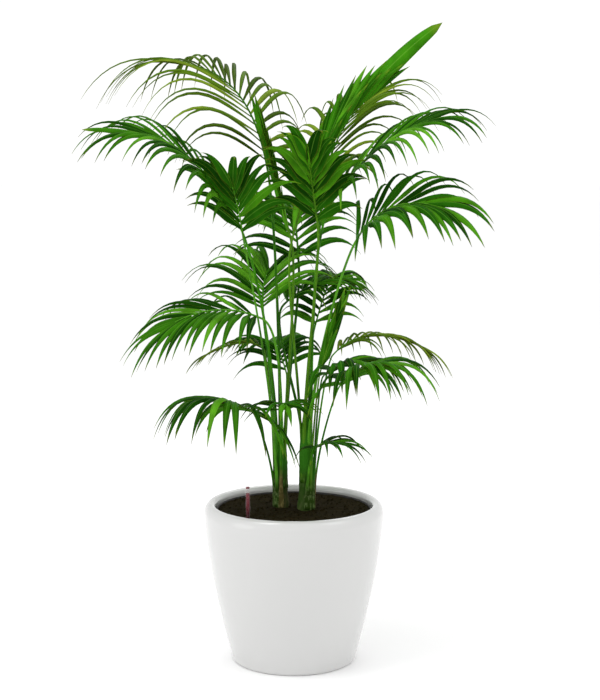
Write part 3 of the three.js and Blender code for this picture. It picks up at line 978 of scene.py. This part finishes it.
@dataclass(frozen=True)
class Leaflet:
    """One leaflet: where it leaves the rib and how it grows.

    Attributes:
        t: The share of the rib's length at its root.
        hand: 1 on the rib's left side and -1 on its right side.
        angle: The angle that it makes with the rib, in degrees.
        reach: Its length.
        width: Its greatest width.
        droop: How strongly it hangs.
        lift: How far it rises out of the blade, in degrees.
        shade: 0 for a leaflet whose colour has painted shade, 1 for a plain one and 2 for one whose colour
            has painted light.
        blunt: The share of its width that it keeps near its tip.
        twist: How far the blade turns about its own length by its tip, in degrees.
    """

    t: float
    hand: int
    angle: float
    reach: float
    width: float
    droop: float
    lift: float
    shade: int = 1
    blunt: float = 0.0
    twist: float = 0.0


@dataclass(frozen=True)
class EndLeaf:
    """The broad leaf in which a frond ends: its length, its width and how strongly it hangs."""

    reach: float
    width: float
    droop: float


@dataclass(frozen=True)
class Frond:
    """One frond, as the source places it: its stalk's seat, its rib and its leaflets.

    Attributes:
        name: Its name, which its two CAD nodes end with.
        stem: The stem that bears it.
        ring: The ring where its stalk starts.
        seat: The angle of that place round the stem, in degrees.
        neck: Where the stalk ends and the rib starts.
        crest: The middle of the rib.
        tip: The end of the rib.
        pairs: The pairs of leaflets.
        leaf: The length of the longest leaflets.
        width: Their width.
        fan: The leaflets' angle with the rib at its neck and at its tip, in degrees.
        lift: How far they rise out of the blade, in degrees.
        droop: How strongly they hang.
        roll: How far the blade is rolled about its rib, in degrees.
        tone: The green of the leaflets.
        end: The broad leaf that goes on from the rib's last stretch, where the frond has one.
    """

    name: str
    stem: Stem
    ring: Ring
    seat: float
    neck: Triple
    crest: Triple
    tip: Triple
    pairs: int
    leaf: float
    width: float
    fan: tuple[float, float]
    lift: float
    droop: float
    roll: float
    tone: Tone
    end: EndLeaf | None = None


FRONDS = (
    Frond("left_feather", LEFT, Ring.TOP, 98, (-0.050, 0.060, 0.950), (-0.105, 0.130, 1.095),
          (-0.205, 0.190, 1.160), 18, 0.305, 0.0100, (66, 26), 4, 0.75, 0, Tone.OLIVE),
    Frond("left_reach", LEFT, Ring.TOP, 218, (-0.105, -0.020, 0.855), (-0.190, -0.060, 0.975),
          (-0.280, -0.095, 1.022), 14, 0.190, 0.0130, (60, 13), 6, 0.65, -25, Tone.MID,
          EndLeaf(0.125, 0.024, 0.15)),
    Frond("left_heart", LEFT, Ring.SIDE, 240, (-0.096, -0.040, 0.835), (-0.103, -0.072, 0.885),
          (-0.112, -0.105, 0.925), 8, 0.150, 0.0185, (64, 14), 25, 0.40, 0, Tone.DEEP),
    Frond("centre_spear", LEFT, Ring.TOP, 338, (-0.005, 0.010, 0.820), (-0.030, 0.030, 0.925),
          (-0.050, 0.040, 1.000), 7, 0.135, 0.0180, (9, 3), 0, 0.00, 60, Tone.BRIGHT),
    Frond("back_arch", LEFT, Ring.TOP, 38, (0.010, 0.120, 0.755), (0.000, 0.200, 0.860),
          (-0.015, 0.300, 0.875), 14, 0.185, 0.0150, (65, 14), 12, 0.55, 0, Tone.DEEP),
    Frond("mid_back", LEFT, Ring.TOP, 158, (-0.060, 0.040, 0.680), (-0.060, 0.095, 0.725),
          (-0.050, 0.150, 0.755), 14, 0.205, 0.0130, (75, 22), 30, 0.65, 0, Tone.MID),
    Frond("mid_left", LEFT, Ring.TOP, 278, (-0.060, -0.040, 0.675), (-0.140, -0.075, 0.695),
          (-0.220, -0.105, 0.675), 13, 0.170, 0.0145, (65, 12), 6, 0.65, -20, Tone.MID),
    Frond("mid_left_slim", LEFT, Ring.SIDE, 145, (-0.062, 0.075, 0.605), (-0.102, 0.095, 0.612),
          (-0.167, 0.112, 0.590), 9, 0.095, 0.0065, (45, 15), 8, 0.55, 0, Tone.OLIVE),
    Frond("low_left", LEFT, Ring.SIDE, 210, (-0.078, -0.010, 0.488), (-0.108, -0.040, 0.512),
          (-0.148, -0.065, 0.525), 11, 0.200, 0.0160, (100, 12), 4, 1.15, 0, Tone.MID),
    Frond("low_inner", LEFT, Ring.SIDE, 270, (-0.025, -0.030, 0.495), (-0.025, -0.065, 0.515),
          (-0.015, -0.095, 0.520), 6, 0.105, 0.0135, (75, 20), 10, 0.65, 0, Tone.DEEP),
    Frond("back_low", LEFT, Ring.SIDE, 82, (-0.015, 0.100, 0.550), (-0.035, 0.160, 0.595),
          (-0.055, 0.225, 0.600), 12, 0.155, 0.0140, (70, 14), 12, 0.65, 0, Tone.DEEP),
    Frond("tall_spear", RIGHT, Ring.TOP, 180, (-0.005, -0.010, 0.815), (0.052, -0.005, 0.985),
          (0.124, 0.005, 1.086), 10, 0.155, 0.0190, (8, 4), 0, 0.05, 70, Tone.BRIGHT,
          EndLeaf(0.232, 0.032, 0.10)),
    Frond("back_feather", RIGHT, Ring.TOP, 60, (0.055, 0.080, 0.895), (0.085, 0.125, 1.010),
          (0.150, 0.175, 1.095), 15, 0.215, 0.0095, (60, 20), 10, 0.65, 0, Tone.OLIVE),
    Frond("right_reach", RIGHT, Ring.TOP, 0, (0.070, -0.020, 0.890), (0.150, -0.065, 0.990),
          (0.245, -0.105, 1.045), 15, 0.180, 0.0120, (60, 12), 8, 0.65, 25, Tone.MID),
    Frond("right_low", RIGHT, Ring.TOP, 300, (0.110, -0.060, 0.810), (0.165, -0.100, 0.880),
          (0.245, -0.145, 0.895), 12, 0.185, 0.0175, (66, 12), 15, 0.60, 35, Tone.DEEP),
    Frond("dark_heart", RIGHT, Ring.TOP, 240, (0.045, -0.040, 0.855), (0.036, -0.072, 0.920),
          (0.028, -0.110, 0.975), 10, 0.135, 0.0210, (62, 14), 25, 0.40, 0, Tone.DEEP),
    Frond("mid_right", RIGHT, Ring.TOP, 120, (-0.020, 0.076, 0.690), (0.028, 0.098, 0.722),
          (0.078, 0.122, 0.730), 13, 0.140, 0.0120, (65, 15), 14, 0.65, 0, Tone.MID),
    Frond("back_right", RIGHT, Ring.SIDE, 85, (0.040, 0.110, 0.635), (0.065, 0.175, 0.710),
          (0.085, 0.245, 0.735), 12, 0.130, 0.0140, (70, 14), 12, 0.65, 0, Tone.DEEP),
    Frond("olive_arch", RIGHT, Ring.SIDE, 30, (0.075, 0.030, 0.595), (0.145, 0.060, 0.630),
          (0.240, 0.090, 0.610), 13, 0.145, 0.0085, (48, 12), 8, 0.85, 0, Tone.OLIVE),
    Frond("young_spear", RIGHT, Ring.SIDE, 300, (0.050, -0.035, 0.570), (0.063, -0.035, 0.615),
          (0.078, -0.030, 0.660), 5, 0.100, 0.0150, (8, 3), 0, 0.00, 70, Tone.MID),
    Frond("low_hand", RIGHT, Ring.SIDE, 325, (0.056, -0.014, 0.560), (0.090, -0.045, 0.590),
          (0.130, -0.065, 0.595), 9, 0.155, 0.0160, (75, 14), 8, 0.95, 0, Tone.DEEP),
    Frond("right_hand", RIGHT, Ring.SIDE, 355, (0.085, -0.060, 0.545), (0.115, -0.090, 0.582),
          (0.155, -0.115, 0.598), 10, 0.185, 0.0160, (75, 12), 6, 0.95, 0, Tone.MID),
    Frond("low_right", RIGHT, Ring.SIDE, 275, (0.038, -0.046, 0.425), (0.055, -0.058, 0.438),
          (0.078, -0.068, 0.442), 6, 0.110, 0.0110, (90, 12), 10, 0.65, 0, Tone.DEEP),
)


@dataclass(frozen=True)
class Limb:
    """The stalk and the rib of one frond, as one line from the stem to the frond's tip.

    Attributes:
        frond: The frond.
        foot_radius: The stalk's radius at its seat.
        neck_radius: Its radius at the neck.
        tip_radius: The rib's radius at its tip.
        sheath: Half the width and half the thickness of the sheath where it clasps the stem.
        hem: Half the thickness of the sheath's lower edge.
        clasp: How far the sheath reaches down the stem.
        gap: How far its middle lies outside the stem's own radius there.
        side_start: How far above the soil a side stalk has its seat.
        rise: How strongly the stalk rises upright, as a share of its span.
        arrival: How long a side stalk and a top stalk run in line with the rib, as shares of their span.
        slim: How slender a side stalk and a top stalk are against those radii.
        groove: The depth of the groove along its face, as a share of half its thickness.
        facets: The number of facets round.
        stations: The number of stations along the sheath, the stalk and the rib.
    """

    frond: Frond
    foot_radius: float = 3.8 * MM
    neck_radius: float = 2.7 * MM
    tip_radius: float = 0.9 * MM
    sheath: tuple[float, float] = (5.5 * MM, 1.6 * MM)
    hem: float = 0.3 * MM
    clasp: float = 0.050
    gap: float = 0.4 * MM
    side_start: float = 0.030
    rise: float = 0.36
    arrival: tuple[float, float] = (0.07, 0.16)
    slim: tuple[float, float] = (0.62, 0.88)
    groove: float = 0.3
    facets: int = 12
    stations: tuple[int, int, int] = (6, 22, 22)

    @cached_property
    def on_top(self) -> bool:
        """Whether the stalk leaves the top of its stem."""
        return self.frond.ring is Ring.TOP

    @cached_property
    def outward(self) -> Vector:
        """The direction round the stem in which the stalk has its seat."""
        angle = math.radians(self.frond.seat)
        return Vector((math.cos(angle), math.sin(angle), 0.0))

    @cached_property
    def rib(self) -> Bezier:
        """The rib, which passes its neck, its crest half way along, and its tip."""
        neck, crest, tip = (Vector(point) for point in (self.frond.neck, self.frond.crest, self.frond.tip))
        return Bezier((neck, 2.0 * crest - 0.5 * neck - 0.5 * tip, tip))

    @cached_property
    def seat(self) -> Vector:
        """The point where the stalk leaves its stem."""
        stem, radius = self.frond.stem, self.foot_radius
        if self.on_top:
            return stem.centre + (stem.top_radius - radius) * self.outward + UP * (stem.top - stem.centre.z)
        return stem.centre + (stem.top_radius + radius) * self.outward + UP * self.side_start

    @cached_property
    def stalk(self) -> Bezier:
        """The stalk, which rises upright from its seat and arrives in line with the rib."""
        seat, neck = self.seat, Vector(self.frond.neck)
        span = (neck - seat).length
        arrival = self.arrival[self.on_top] * span
        return Bezier((seat, seat + self.rise * span * UP, neck - arrival * self.rib.tangent(0.0), neck))

    def sideways(self, along: Vector, roll: float = 0.0) -> Vector:
        """Returns the direction across the blade.

        Args:
            along: The direction of the limb.
            roll: How far the blade is rolled about it, in degrees.

        Returns:
            The direction, at right angles to the limb.
        """
        reach = Vector(self.frond.tip) - Vector(self.frond.neck)
        side = UP.cross(Vector((reach.x, reach.y, 0.0))).normalized()
        side = (side - side.dot(along) * along).normalized()
        return Matrix.Rotation(math.radians(roll), 3, along) @ side

    def line(self) -> list[tuple[Vector, Vector, Vector, float, float]]:
        """Walks the limb from its sheath to its tip.

        Returns:
            The place, the direction across, the direction of its face, and half its width and
            half its thickness, for each station.
        """
        stalk, rib, base = self.stalk, self.rib, self.frond.stem.centre
        stations = []
        clasp_steps, stalk_steps, rib_steps = self.stations
        tangent = UP.cross(self.outward)
        down = self.clasp if self.on_top else self.side_start
        seated = (self.seat - Vector((base.x, base.y, self.seat.z))).length
        for step in range(clasp_steps):
            share = step / clasp_steps
            height = self.seat.z - down * (1.0 - share)
            clinging = self.frond.stem.radius(height) + self.gap
            out = mixed(clinging, seated, smooth(share))
            place = Vector((base.x, base.y, height)) + out * self.outward
            stations.append((place, tangent, self.outward, share * 0.5))
        for step in range(stalk_steps):
            share = step / stalk_steps
            along = stalk.tangent(share)
            side = self.sideways(along)
            turned_side = tangent if tangent.dot(side) > 0 else -tangent
            side = turned_side.lerp(side, smooth(share * 2.5)).normalized()
            side = (side - side.dot(along) * along).normalized()
            stations.append((stalk.point(share), side, along.cross(side), 0.5 + share * 0.5))
        for step in range(rib_steps + 1):
            along = rib.tangent(step / rib_steps)
            side = self.sideways(along, self.frond.roll * smooth(step / 4))
            stations.append((rib.point(step / rib_steps), side, along.cross(side), 1.0 + step / rib_steps))
        return [(place, side, face, *self.girth(share)) for place, side, face, share in stations]

    def girth(self, share: float) -> tuple[float, float]:
        """Gives the limb's half width and half thickness.

        Args:
            share: 0 at the foot of the sheath, 0.5 at the seat, 1 at the neck and 2 at the tip.

        Returns:
            Half the width and half the thickness.
        """
        slim = self.slim[self.on_top]
        if share > 1.0:
            radius = mixed(self.neck_radius, self.tip_radius, share - 1.0)
            radius *= mixed(slim, 1.0, smooth(share - 1.0))
            return radius, radius
        flat = 1.0 - smooth((share - 0.35) / 0.35)
        radius = slim * mixed(self.foot_radius, self.neck_radius, smooth(2.0 * share - 1.0))
        thin = mixed(self.hem, self.sheath[1], smooth(share / 0.3))
        return mixed(radius, self.sheath[0], flat), mixed(radius, thin, flat)

    def build(self, bm: bmesh.types.BMesh, skin_number: int) -> None:
        """Adds the limb to a mesh, round below and grooved along its face.

        Args:
            bm: The mesh.
            skin_number: Which of the stalks' finishes it has.
        """
        stations = self.line()
        rows = len(stations) + 1

        def place(across: float, along: float) -> Vector:
            """Lays a point on the limb's skin.

            Args:
                across: The share of the way round it.
                along: The share of the way from its foot to its tip.

            Returns:
                The point.
            """
            row = round(along * rows)
            centre, side, face, wide, high = stations[min(max(row - 1, 0), len(stations) - 1)]
            if row in (0, rows):
                return centre
            angle = math.tau * across
            groove = 1.0 - self.groove * max(0.0, math.sin(angle)) ** 3
            return centre + wide * math.cos(angle) * side + high * groove * math.sin(angle) * face

        for face in skin(bm, self.facets, rows, place):
            face.material_index = skin_number


@dataclass(frozen=True)
class LeafBlade:
    """The rule by which a leaflet bends under its weight and takes its outline.

    Attributes:
        steps: The number of stations along.
        across: The number of faces across.
        hang: How quickly a drooping leaflet turns down.
        root: The share of its width at its root.
        widest: Where it is widest, as a share of its length.
        pointed: How late, and how evenly, a pointed blade narrows to its tip.
        rounded: How late a blunt blade narrows to its tip.
        keel: How steeply its halves fall from the midrib at the root and at the tip.
        thickness: The thickness of the blade.
    """

    SPREAD = "blade_spread"

    steps: int = 12
    across: int = 4
    hang: float = 3.0
    root: float = 0.36
    widest: float = 0.28
    pointed: tuple[float, float] = (1.7, 1.05)
    rounded: float = 5.0
    keel: tuple[float, float] = (0.75, 0.3)
    thickness: float = 0.45 * MM

    def outline(self, share: float, blunt: float) -> float:
        """Gives the blade's width as a share of its greatest.

        Args:
            share: The share of the leaflet's length.
            blunt: The share of its width that it keeps near its tip.

        Returns:
            The share of its width.
        """
        if share < self.widest:
            return mixed(self.root, 1.0, smooth(share / self.widest))
        out = (share - self.widest) / (1.0 - self.widest)
        late, even = self.pointed
        return mixed((1.0 - out ** late) ** even, math.sqrt(max(0.0, 1.0 - out ** self.rounded)), blunt)

    def spine(self, limb: Limb, leaflet: Leaflet) -> Spine:
        """Walks a leaflet from its root to its tip.

        Args:
            limb: The stalk and rib that bear it.
            leaflet: The leaflet.

        Returns:
            The place, the direction across and the direction of its upper face, for each station.
        """
        rib, hand = limb.rib, leaflet.hand
        along = rib.tangent(leaflet.t)
        side = limb.sideways(along, limb.frond.roll)
        face = along.cross(side)
        angle, lift = math.radians(leaflet.angle), math.radians(leaflet.lift)
        aim = (math.cos(angle) * along + hand * math.sin(angle) * math.cos(lift) * side
               + math.sin(angle) * math.sin(lift) * face)
        breadth = math.sin(angle) * along - hand * math.cos(angle) * side
        place = rib.point(leaflet.t)
        stations = []
        for step in range(self.steps + 1):
            share = step / self.steps
            heading = (aim - UP * leaflet.droop * self.hang * share ** 2).normalized()
            across = (breadth - breadth.dot(heading) * heading).normalized()
            across = Matrix.Rotation(math.radians(leaflet.twist * share), 3, heading) @ across
            stations.append((place.copy(), across, -hand * heading.cross(across)))
            place = place + heading * leaflet.reach / self.steps
        return stations

    def build(self, bm: bmesh.types.BMesh, leaflet: Leaflet, spine: Spine) -> None:
        """Adds a leaflet to a mesh, folded along its midrib.

        Args:
            bm: The mesh.
            leaflet: The leaflet.
            spine: Its stations.
        """

        def place(across: float, along: float) -> Vector:
            """Lays a point on the blade.

            Args:
                across: The share of the way across it.
                along: The share of the way from its root to its tip.

            Returns:
                The point.
            """
            centre, breadth, top = spine[round(along * self.steps)]
            half = 0.5 * leaflet.width * self.outline(along, leaflet.blunt)
            offset = (2.0 * across - 1.0) * half
            return centre + offset * leaflet.hand * breadth - abs(offset) * mixed(*self.keel, along) * top

        for face in skin(bm, self.across, self.steps, place):
            # The material number picks the leaflet's colour: with painted shade, plain, or with painted
            # light.
            face.material_index = leaflet.shade


@dataclass(frozen=True)
class Crown:
    """All the stalks and fronds.

    Attributes:
        blade: The leaflets' rule.
        first: The share of the rib before the first leaflets.
        last: The share of the rib at the last leaflets.
        stagger: How far the right side's leaflets lie beyond the left side's, in shares of a pair.
        peak: Where the leaflets are longest.
        ends: The leaflets' length at the neck and at the tip, as shares of the longest.
        stray: How far a leaflet strays from its place, in shares of a pair.
        angles: The least and the greatest angle with the rib, as shares of the fan's.
        reaches: The least and the greatest length, as shares of the rule's.
        widths: The least and the greatest width, as shares of the frond's.
        droops: The least and the greatest droop, as shares of the frond's.
        lift: How far a leaflet's lift strays from the frond's, in degrees.
        twist: How far it turns about its own length at most, in degrees.
        shades: How often leaflets take the colour with painted shade, the plain colour and the colour with
            painted light.
        samples: The number of points along a stalk and along a rib that leaflets keep clear of.
        room: The room that a leaflet keeps from other fronds' limbs.
        tries: The changes of length and droop that a leaflet tries to find that room.
        end_start: The share of the rib where an end leaf starts.
        end_angle: The angle that it makes with the rib, in degrees.
        end_blunt: The share of its width that it keeps near its tip.
        seed: The seed of the leaflets' small differences.
    """

    blade: LeafBlade = LeafBlade()
    first: float = 0.07
    last: float = 0.96
    stagger: float = 0.4
    peak: float = 0.35
    ends: tuple[float, float] = (0.75, 0.84)
    stray: float = 0.15
    angles: tuple[float, float] = (0.92, 1.08)
    reaches: tuple[float, float] = (0.88, 1.02)
    widths: tuple[float, float] = (0.85, 1.1)
    droops: tuple[float, float] = (0.8, 1.25)
    lift: float = 5.0
    twist: float = 25.0
    shades: tuple[int, int, int] = (3, 5, 2)
    samples: tuple[int, int] = (60, 30)
    room: float = 4.5 * MM
    tries: tuple[tuple[float, float], ...] = ((1.0, 0.0), (1.0, 0.25), (1.0, -0.25), (0.82, 0.1),
                                              (0.65, -0.1), (0.5, 0.0))
    end_start: float = 0.93
    end_angle: float = 2.0
    end_blunt: float = 0.7
    seed: int = 23

    def length_share(self, t: float) -> float:
        """Returns a leaflet's length as a share of the longest, by its place on the rib."""
        if t < self.peak:
            return mixed(self.ends[0], 1.0, t / self.peak)
        return mixed(1.0, self.ends[1], (t - self.peak) / (1.0 - self.peak))

    def leaflets(self, frond: Frond) -> list[Leaflet]:
        """Works out a frond's leaflets, in nearly opposite pairs that differ a little from each other.

        Args:
            frond: The frond.

        Returns:
            Its leaflets.
        """
        draw = random.Random(f"{frond.name} {self.seed}")
        found = []
        for pair in range(frond.pairs):
            place = mixed(self.first, self.last, pair / (frond.pairs - 1))
            for hand in (1, -1):
                t = place if hand > 0 else min(1.0, place + self.stagger / frond.pairs)
                t = min(1.0, max(0.0, t + draw.uniform(-self.stray, self.stray) / frond.pairs))
                # Each leaflet draws at random one of three colours: with painted shade, plain, with painted
                # light
                found.append(Leaflet(
                    t, hand,
                    angle=mixed(*frond.fan, t) * draw.uniform(*self.angles),
                    reach=frond.leaf * self.length_share(t) * draw.uniform(*self.reaches),
                    width=frond.width * draw.uniform(*self.widths),
                    droop=frond.droop * draw.uniform(*self.droops),
                    lift=frond.lift + draw.uniform(-self.lift, self.lift),
                    twist=draw.uniform(-self.twist, self.twist),
                    shade=draw.choices(range(len(self.shades)), self.shades)[0]))
        if frond.end:
            found.append(Leaflet(self.end_start, 1, self.end_angle, frond.end.reach, frond.end.width,
                                 frond.end.droop, frond.lift, blunt=self.end_blunt))
        return found

    def obstacles(self) -> tuple[KDTree, list[str]]:
        """Samples the stalks and ribs that leaflets keep clear of.

        Returns:
            A tree of points, and the name of the frond that each belongs to.
        """
        points, owners = [], []
        for frond in FRONDS:
            limb = Limb(frond)
            for curve, count in zip((limb.stalk, limb.rib), self.samples):
                points += [curve.point(step / count) for step in range(count)]
                owners += [frond.name] * count
        tree = KDTree(len(points))
        for number, point in enumerate(points):
            tree.insert(point, number)
        tree.balance()
        return tree, owners

    def fitted(self, limb: Limb, leaflet: Leaflet, tree: KDTree,
               owners: list[str]) -> tuple[Leaflet, Spine] | None:
        """Bends or shortens a leaflet until it clears the limbs of other fronds.

        Args:
            limb: The stalk and rib that bear it.
            leaflet: The leaflet.
            tree: The points to keep clear of.
            owners: The frond that each point belongs to.

        Returns:
            The leaflet as it fits and its stations, or nothing where it fits nowhere.
        """
        for reach, sag in self.tries:
            option = replace(leaflet, reach=leaflet.reach * reach, droop=max(0.0, leaflet.droop + sag))
            spine = self.blade.spine(limb, option)
            touched = {owners[number] for place, _, _ in spine
                       for _, number, _ in tree.find_range(place, self.room)}
            if touched <= {limb.frond.name}:
                return option, spine
        return None

    def build(self) -> None:
        """Builds the limbs as one piece, and the leaflets as one piece for each tone."""
        bm = new_mesh()
        for number, frond in enumerate(FRONDS):
            # Stalks take the skins in turn: painted shade, plain, painted light and olive
            Limb(frond).build(bm, number % len(STALK_SKINS))
        bmesh.ops.remove_doubles(bm, verts=bm.verts, dist=WELD)
        Piece("stalks_and_ribs", STALK_SKINS, "stalk_green",
              tuple(f"stalk_{frond.name}" for frond in FRONDS)).add(bm)
        tree, owners = self.obstacles()
        for tone in Tone:
            fronds = [frond for frond in FRONDS if frond.tone is tone]
            bm = new_mesh()
            for frond in fronds:
                limb = Limb(frond)
                for leaflet in self.leaflets(frond):
                    fit = self.fitted(limb, leaflet, tree, owners)
                    if fit:
                        self.blade.build(bm, *fit)
            bmesh.ops.remove_doubles(bm, verts=bm.verts, dist=WELD)
            piece = Piece(f"leaflets_{tone.name.lower()}", tuple(tone.finishes()), tone.slot,
                          tuple(f"frond_{frond.name}" for frond in fronds), closed=False).add(bm)
            shell = piece.modifiers.new("blade_thickness", "SOLIDIFY")
            shell.thickness = self.blade.thickness
            shell.offset = 0.0


@dataclass(frozen=True)
class Studio:
    """The pale floor, the soft lights and the camera at the photo's angle.

    Attributes:
        floor_radius: The radius of the floor.
        floor_facets: The number of facets round it.
        camera_place: Where the camera stands.
        camera_tilt: How far it looks down, in degrees.
        lens: Its focal length in millimetres, for the long side of the picture.
        sky: The strength of the light from all round.
        lamps: Place, size and power of each soft light, which all look at the plant.
        target: The point that the lights look at.
    """

    floor_radius: float = 40.0
    floor_facets: int = 96
    camera_place: Triple = (0.012, -3.0, 0.996)
    camera_tilt: float = 7.34
    lens: float = 80.8
    sky: float = 1.06
    lamps: tuple[tuple[str, Triple, float, float], ...] = (
        ("key_lamp", (-1.4, -0.9, 3.6), 1.5, 26.0),
        ("fill_lamp", (2.2, -1.0, 2.6), 1.6, 9.0),
        ("side_lamp", (-2.6, -1.2, 0.9), 1.6, 6.5),
        ("back_lamp", (0.4, 2.4, 2.8), 1.6, 9.0),
    )
    target: Triple = (0.0, 0.0, 0.7)

    def build_floor(self) -> None:
        """Builds the floor just under the planter."""
        bm = new_mesh()
        bmesh.ops.create_circle(bm, cap_ends=True, segments=self.floor_facets, radius=self.floor_radius,
                                matrix=Matrix.Translation((0.0, 0.0, corners("planter_shell")[0].z)))
        mesh = bpy.data.meshes.new("floor")
        bm.to_mesh(mesh)
        bm.free()
        mesh.materials.append(dressed(GROUND_PAPER))
        floor = bpy.data.objects.new("floor", mesh)
        bpy.context.scene.collection.objects.link(floor)

    def build_lights(self) -> None:
        """Builds the lamps and the light from all round."""
        for name, place, size, power in self.lamps:
            lamp = bpy.data.lights.new(name, "AREA")
            lamp.shape, lamp.size, lamp.energy = "DISK", size, power
            holder = bpy.data.objects.new(name, lamp)
            holder.location = place
            holder.rotation_euler = (Vector(self.target) - Vector(place)).to_track_quat("-Z", "Y").to_euler()
            bpy.context.scene.collection.objects.link(holder)
        world = bpy.data.worlds.new("studio_light")
        world.use_nodes = True
        background = world.node_tree.nodes["Background"]
        background.inputs["Color"].default_value = linear("#ffffff")
        background.inputs["Strength"].default_value = self.sky
        bpy.context.scene.world = world

    def build_camera(self) -> None:
        """Builds the camera."""
        camera = bpy.data.objects.new("camera", bpy.data.cameras.new("camera"))
        camera.data.lens = self.lens
        camera.location = self.camera_place
        camera.rotation_euler = (math.radians(90.0 - self.camera_tilt), 0.0, 0.0)
        bpy.context.scene.collection.objects.link(camera)
        bpy.context.scene.camera = camera

    def build(self) -> None:
        """Builds the floor, the lights and the camera."""
        self.build_floor()
        self.build_lights()
        self.build_camera()
        bpy.context.scene.view_settings.view_transform = "Standard"


def main() -> None:
    """Loads the frame and builds every piece round it."""
    logging.basicConfig(level=logging.INFO, format="%(name)s: %(message)s")
    for leftover in list(bpy.data.objects):
        bpy.data.objects.remove(leftover)
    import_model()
    for part in (Studio(), Planter(), SoilBed(), Gauge(), LEFT, RIGHT, Crown()):
        part.build()


if __name__ == "__main__":
    main()
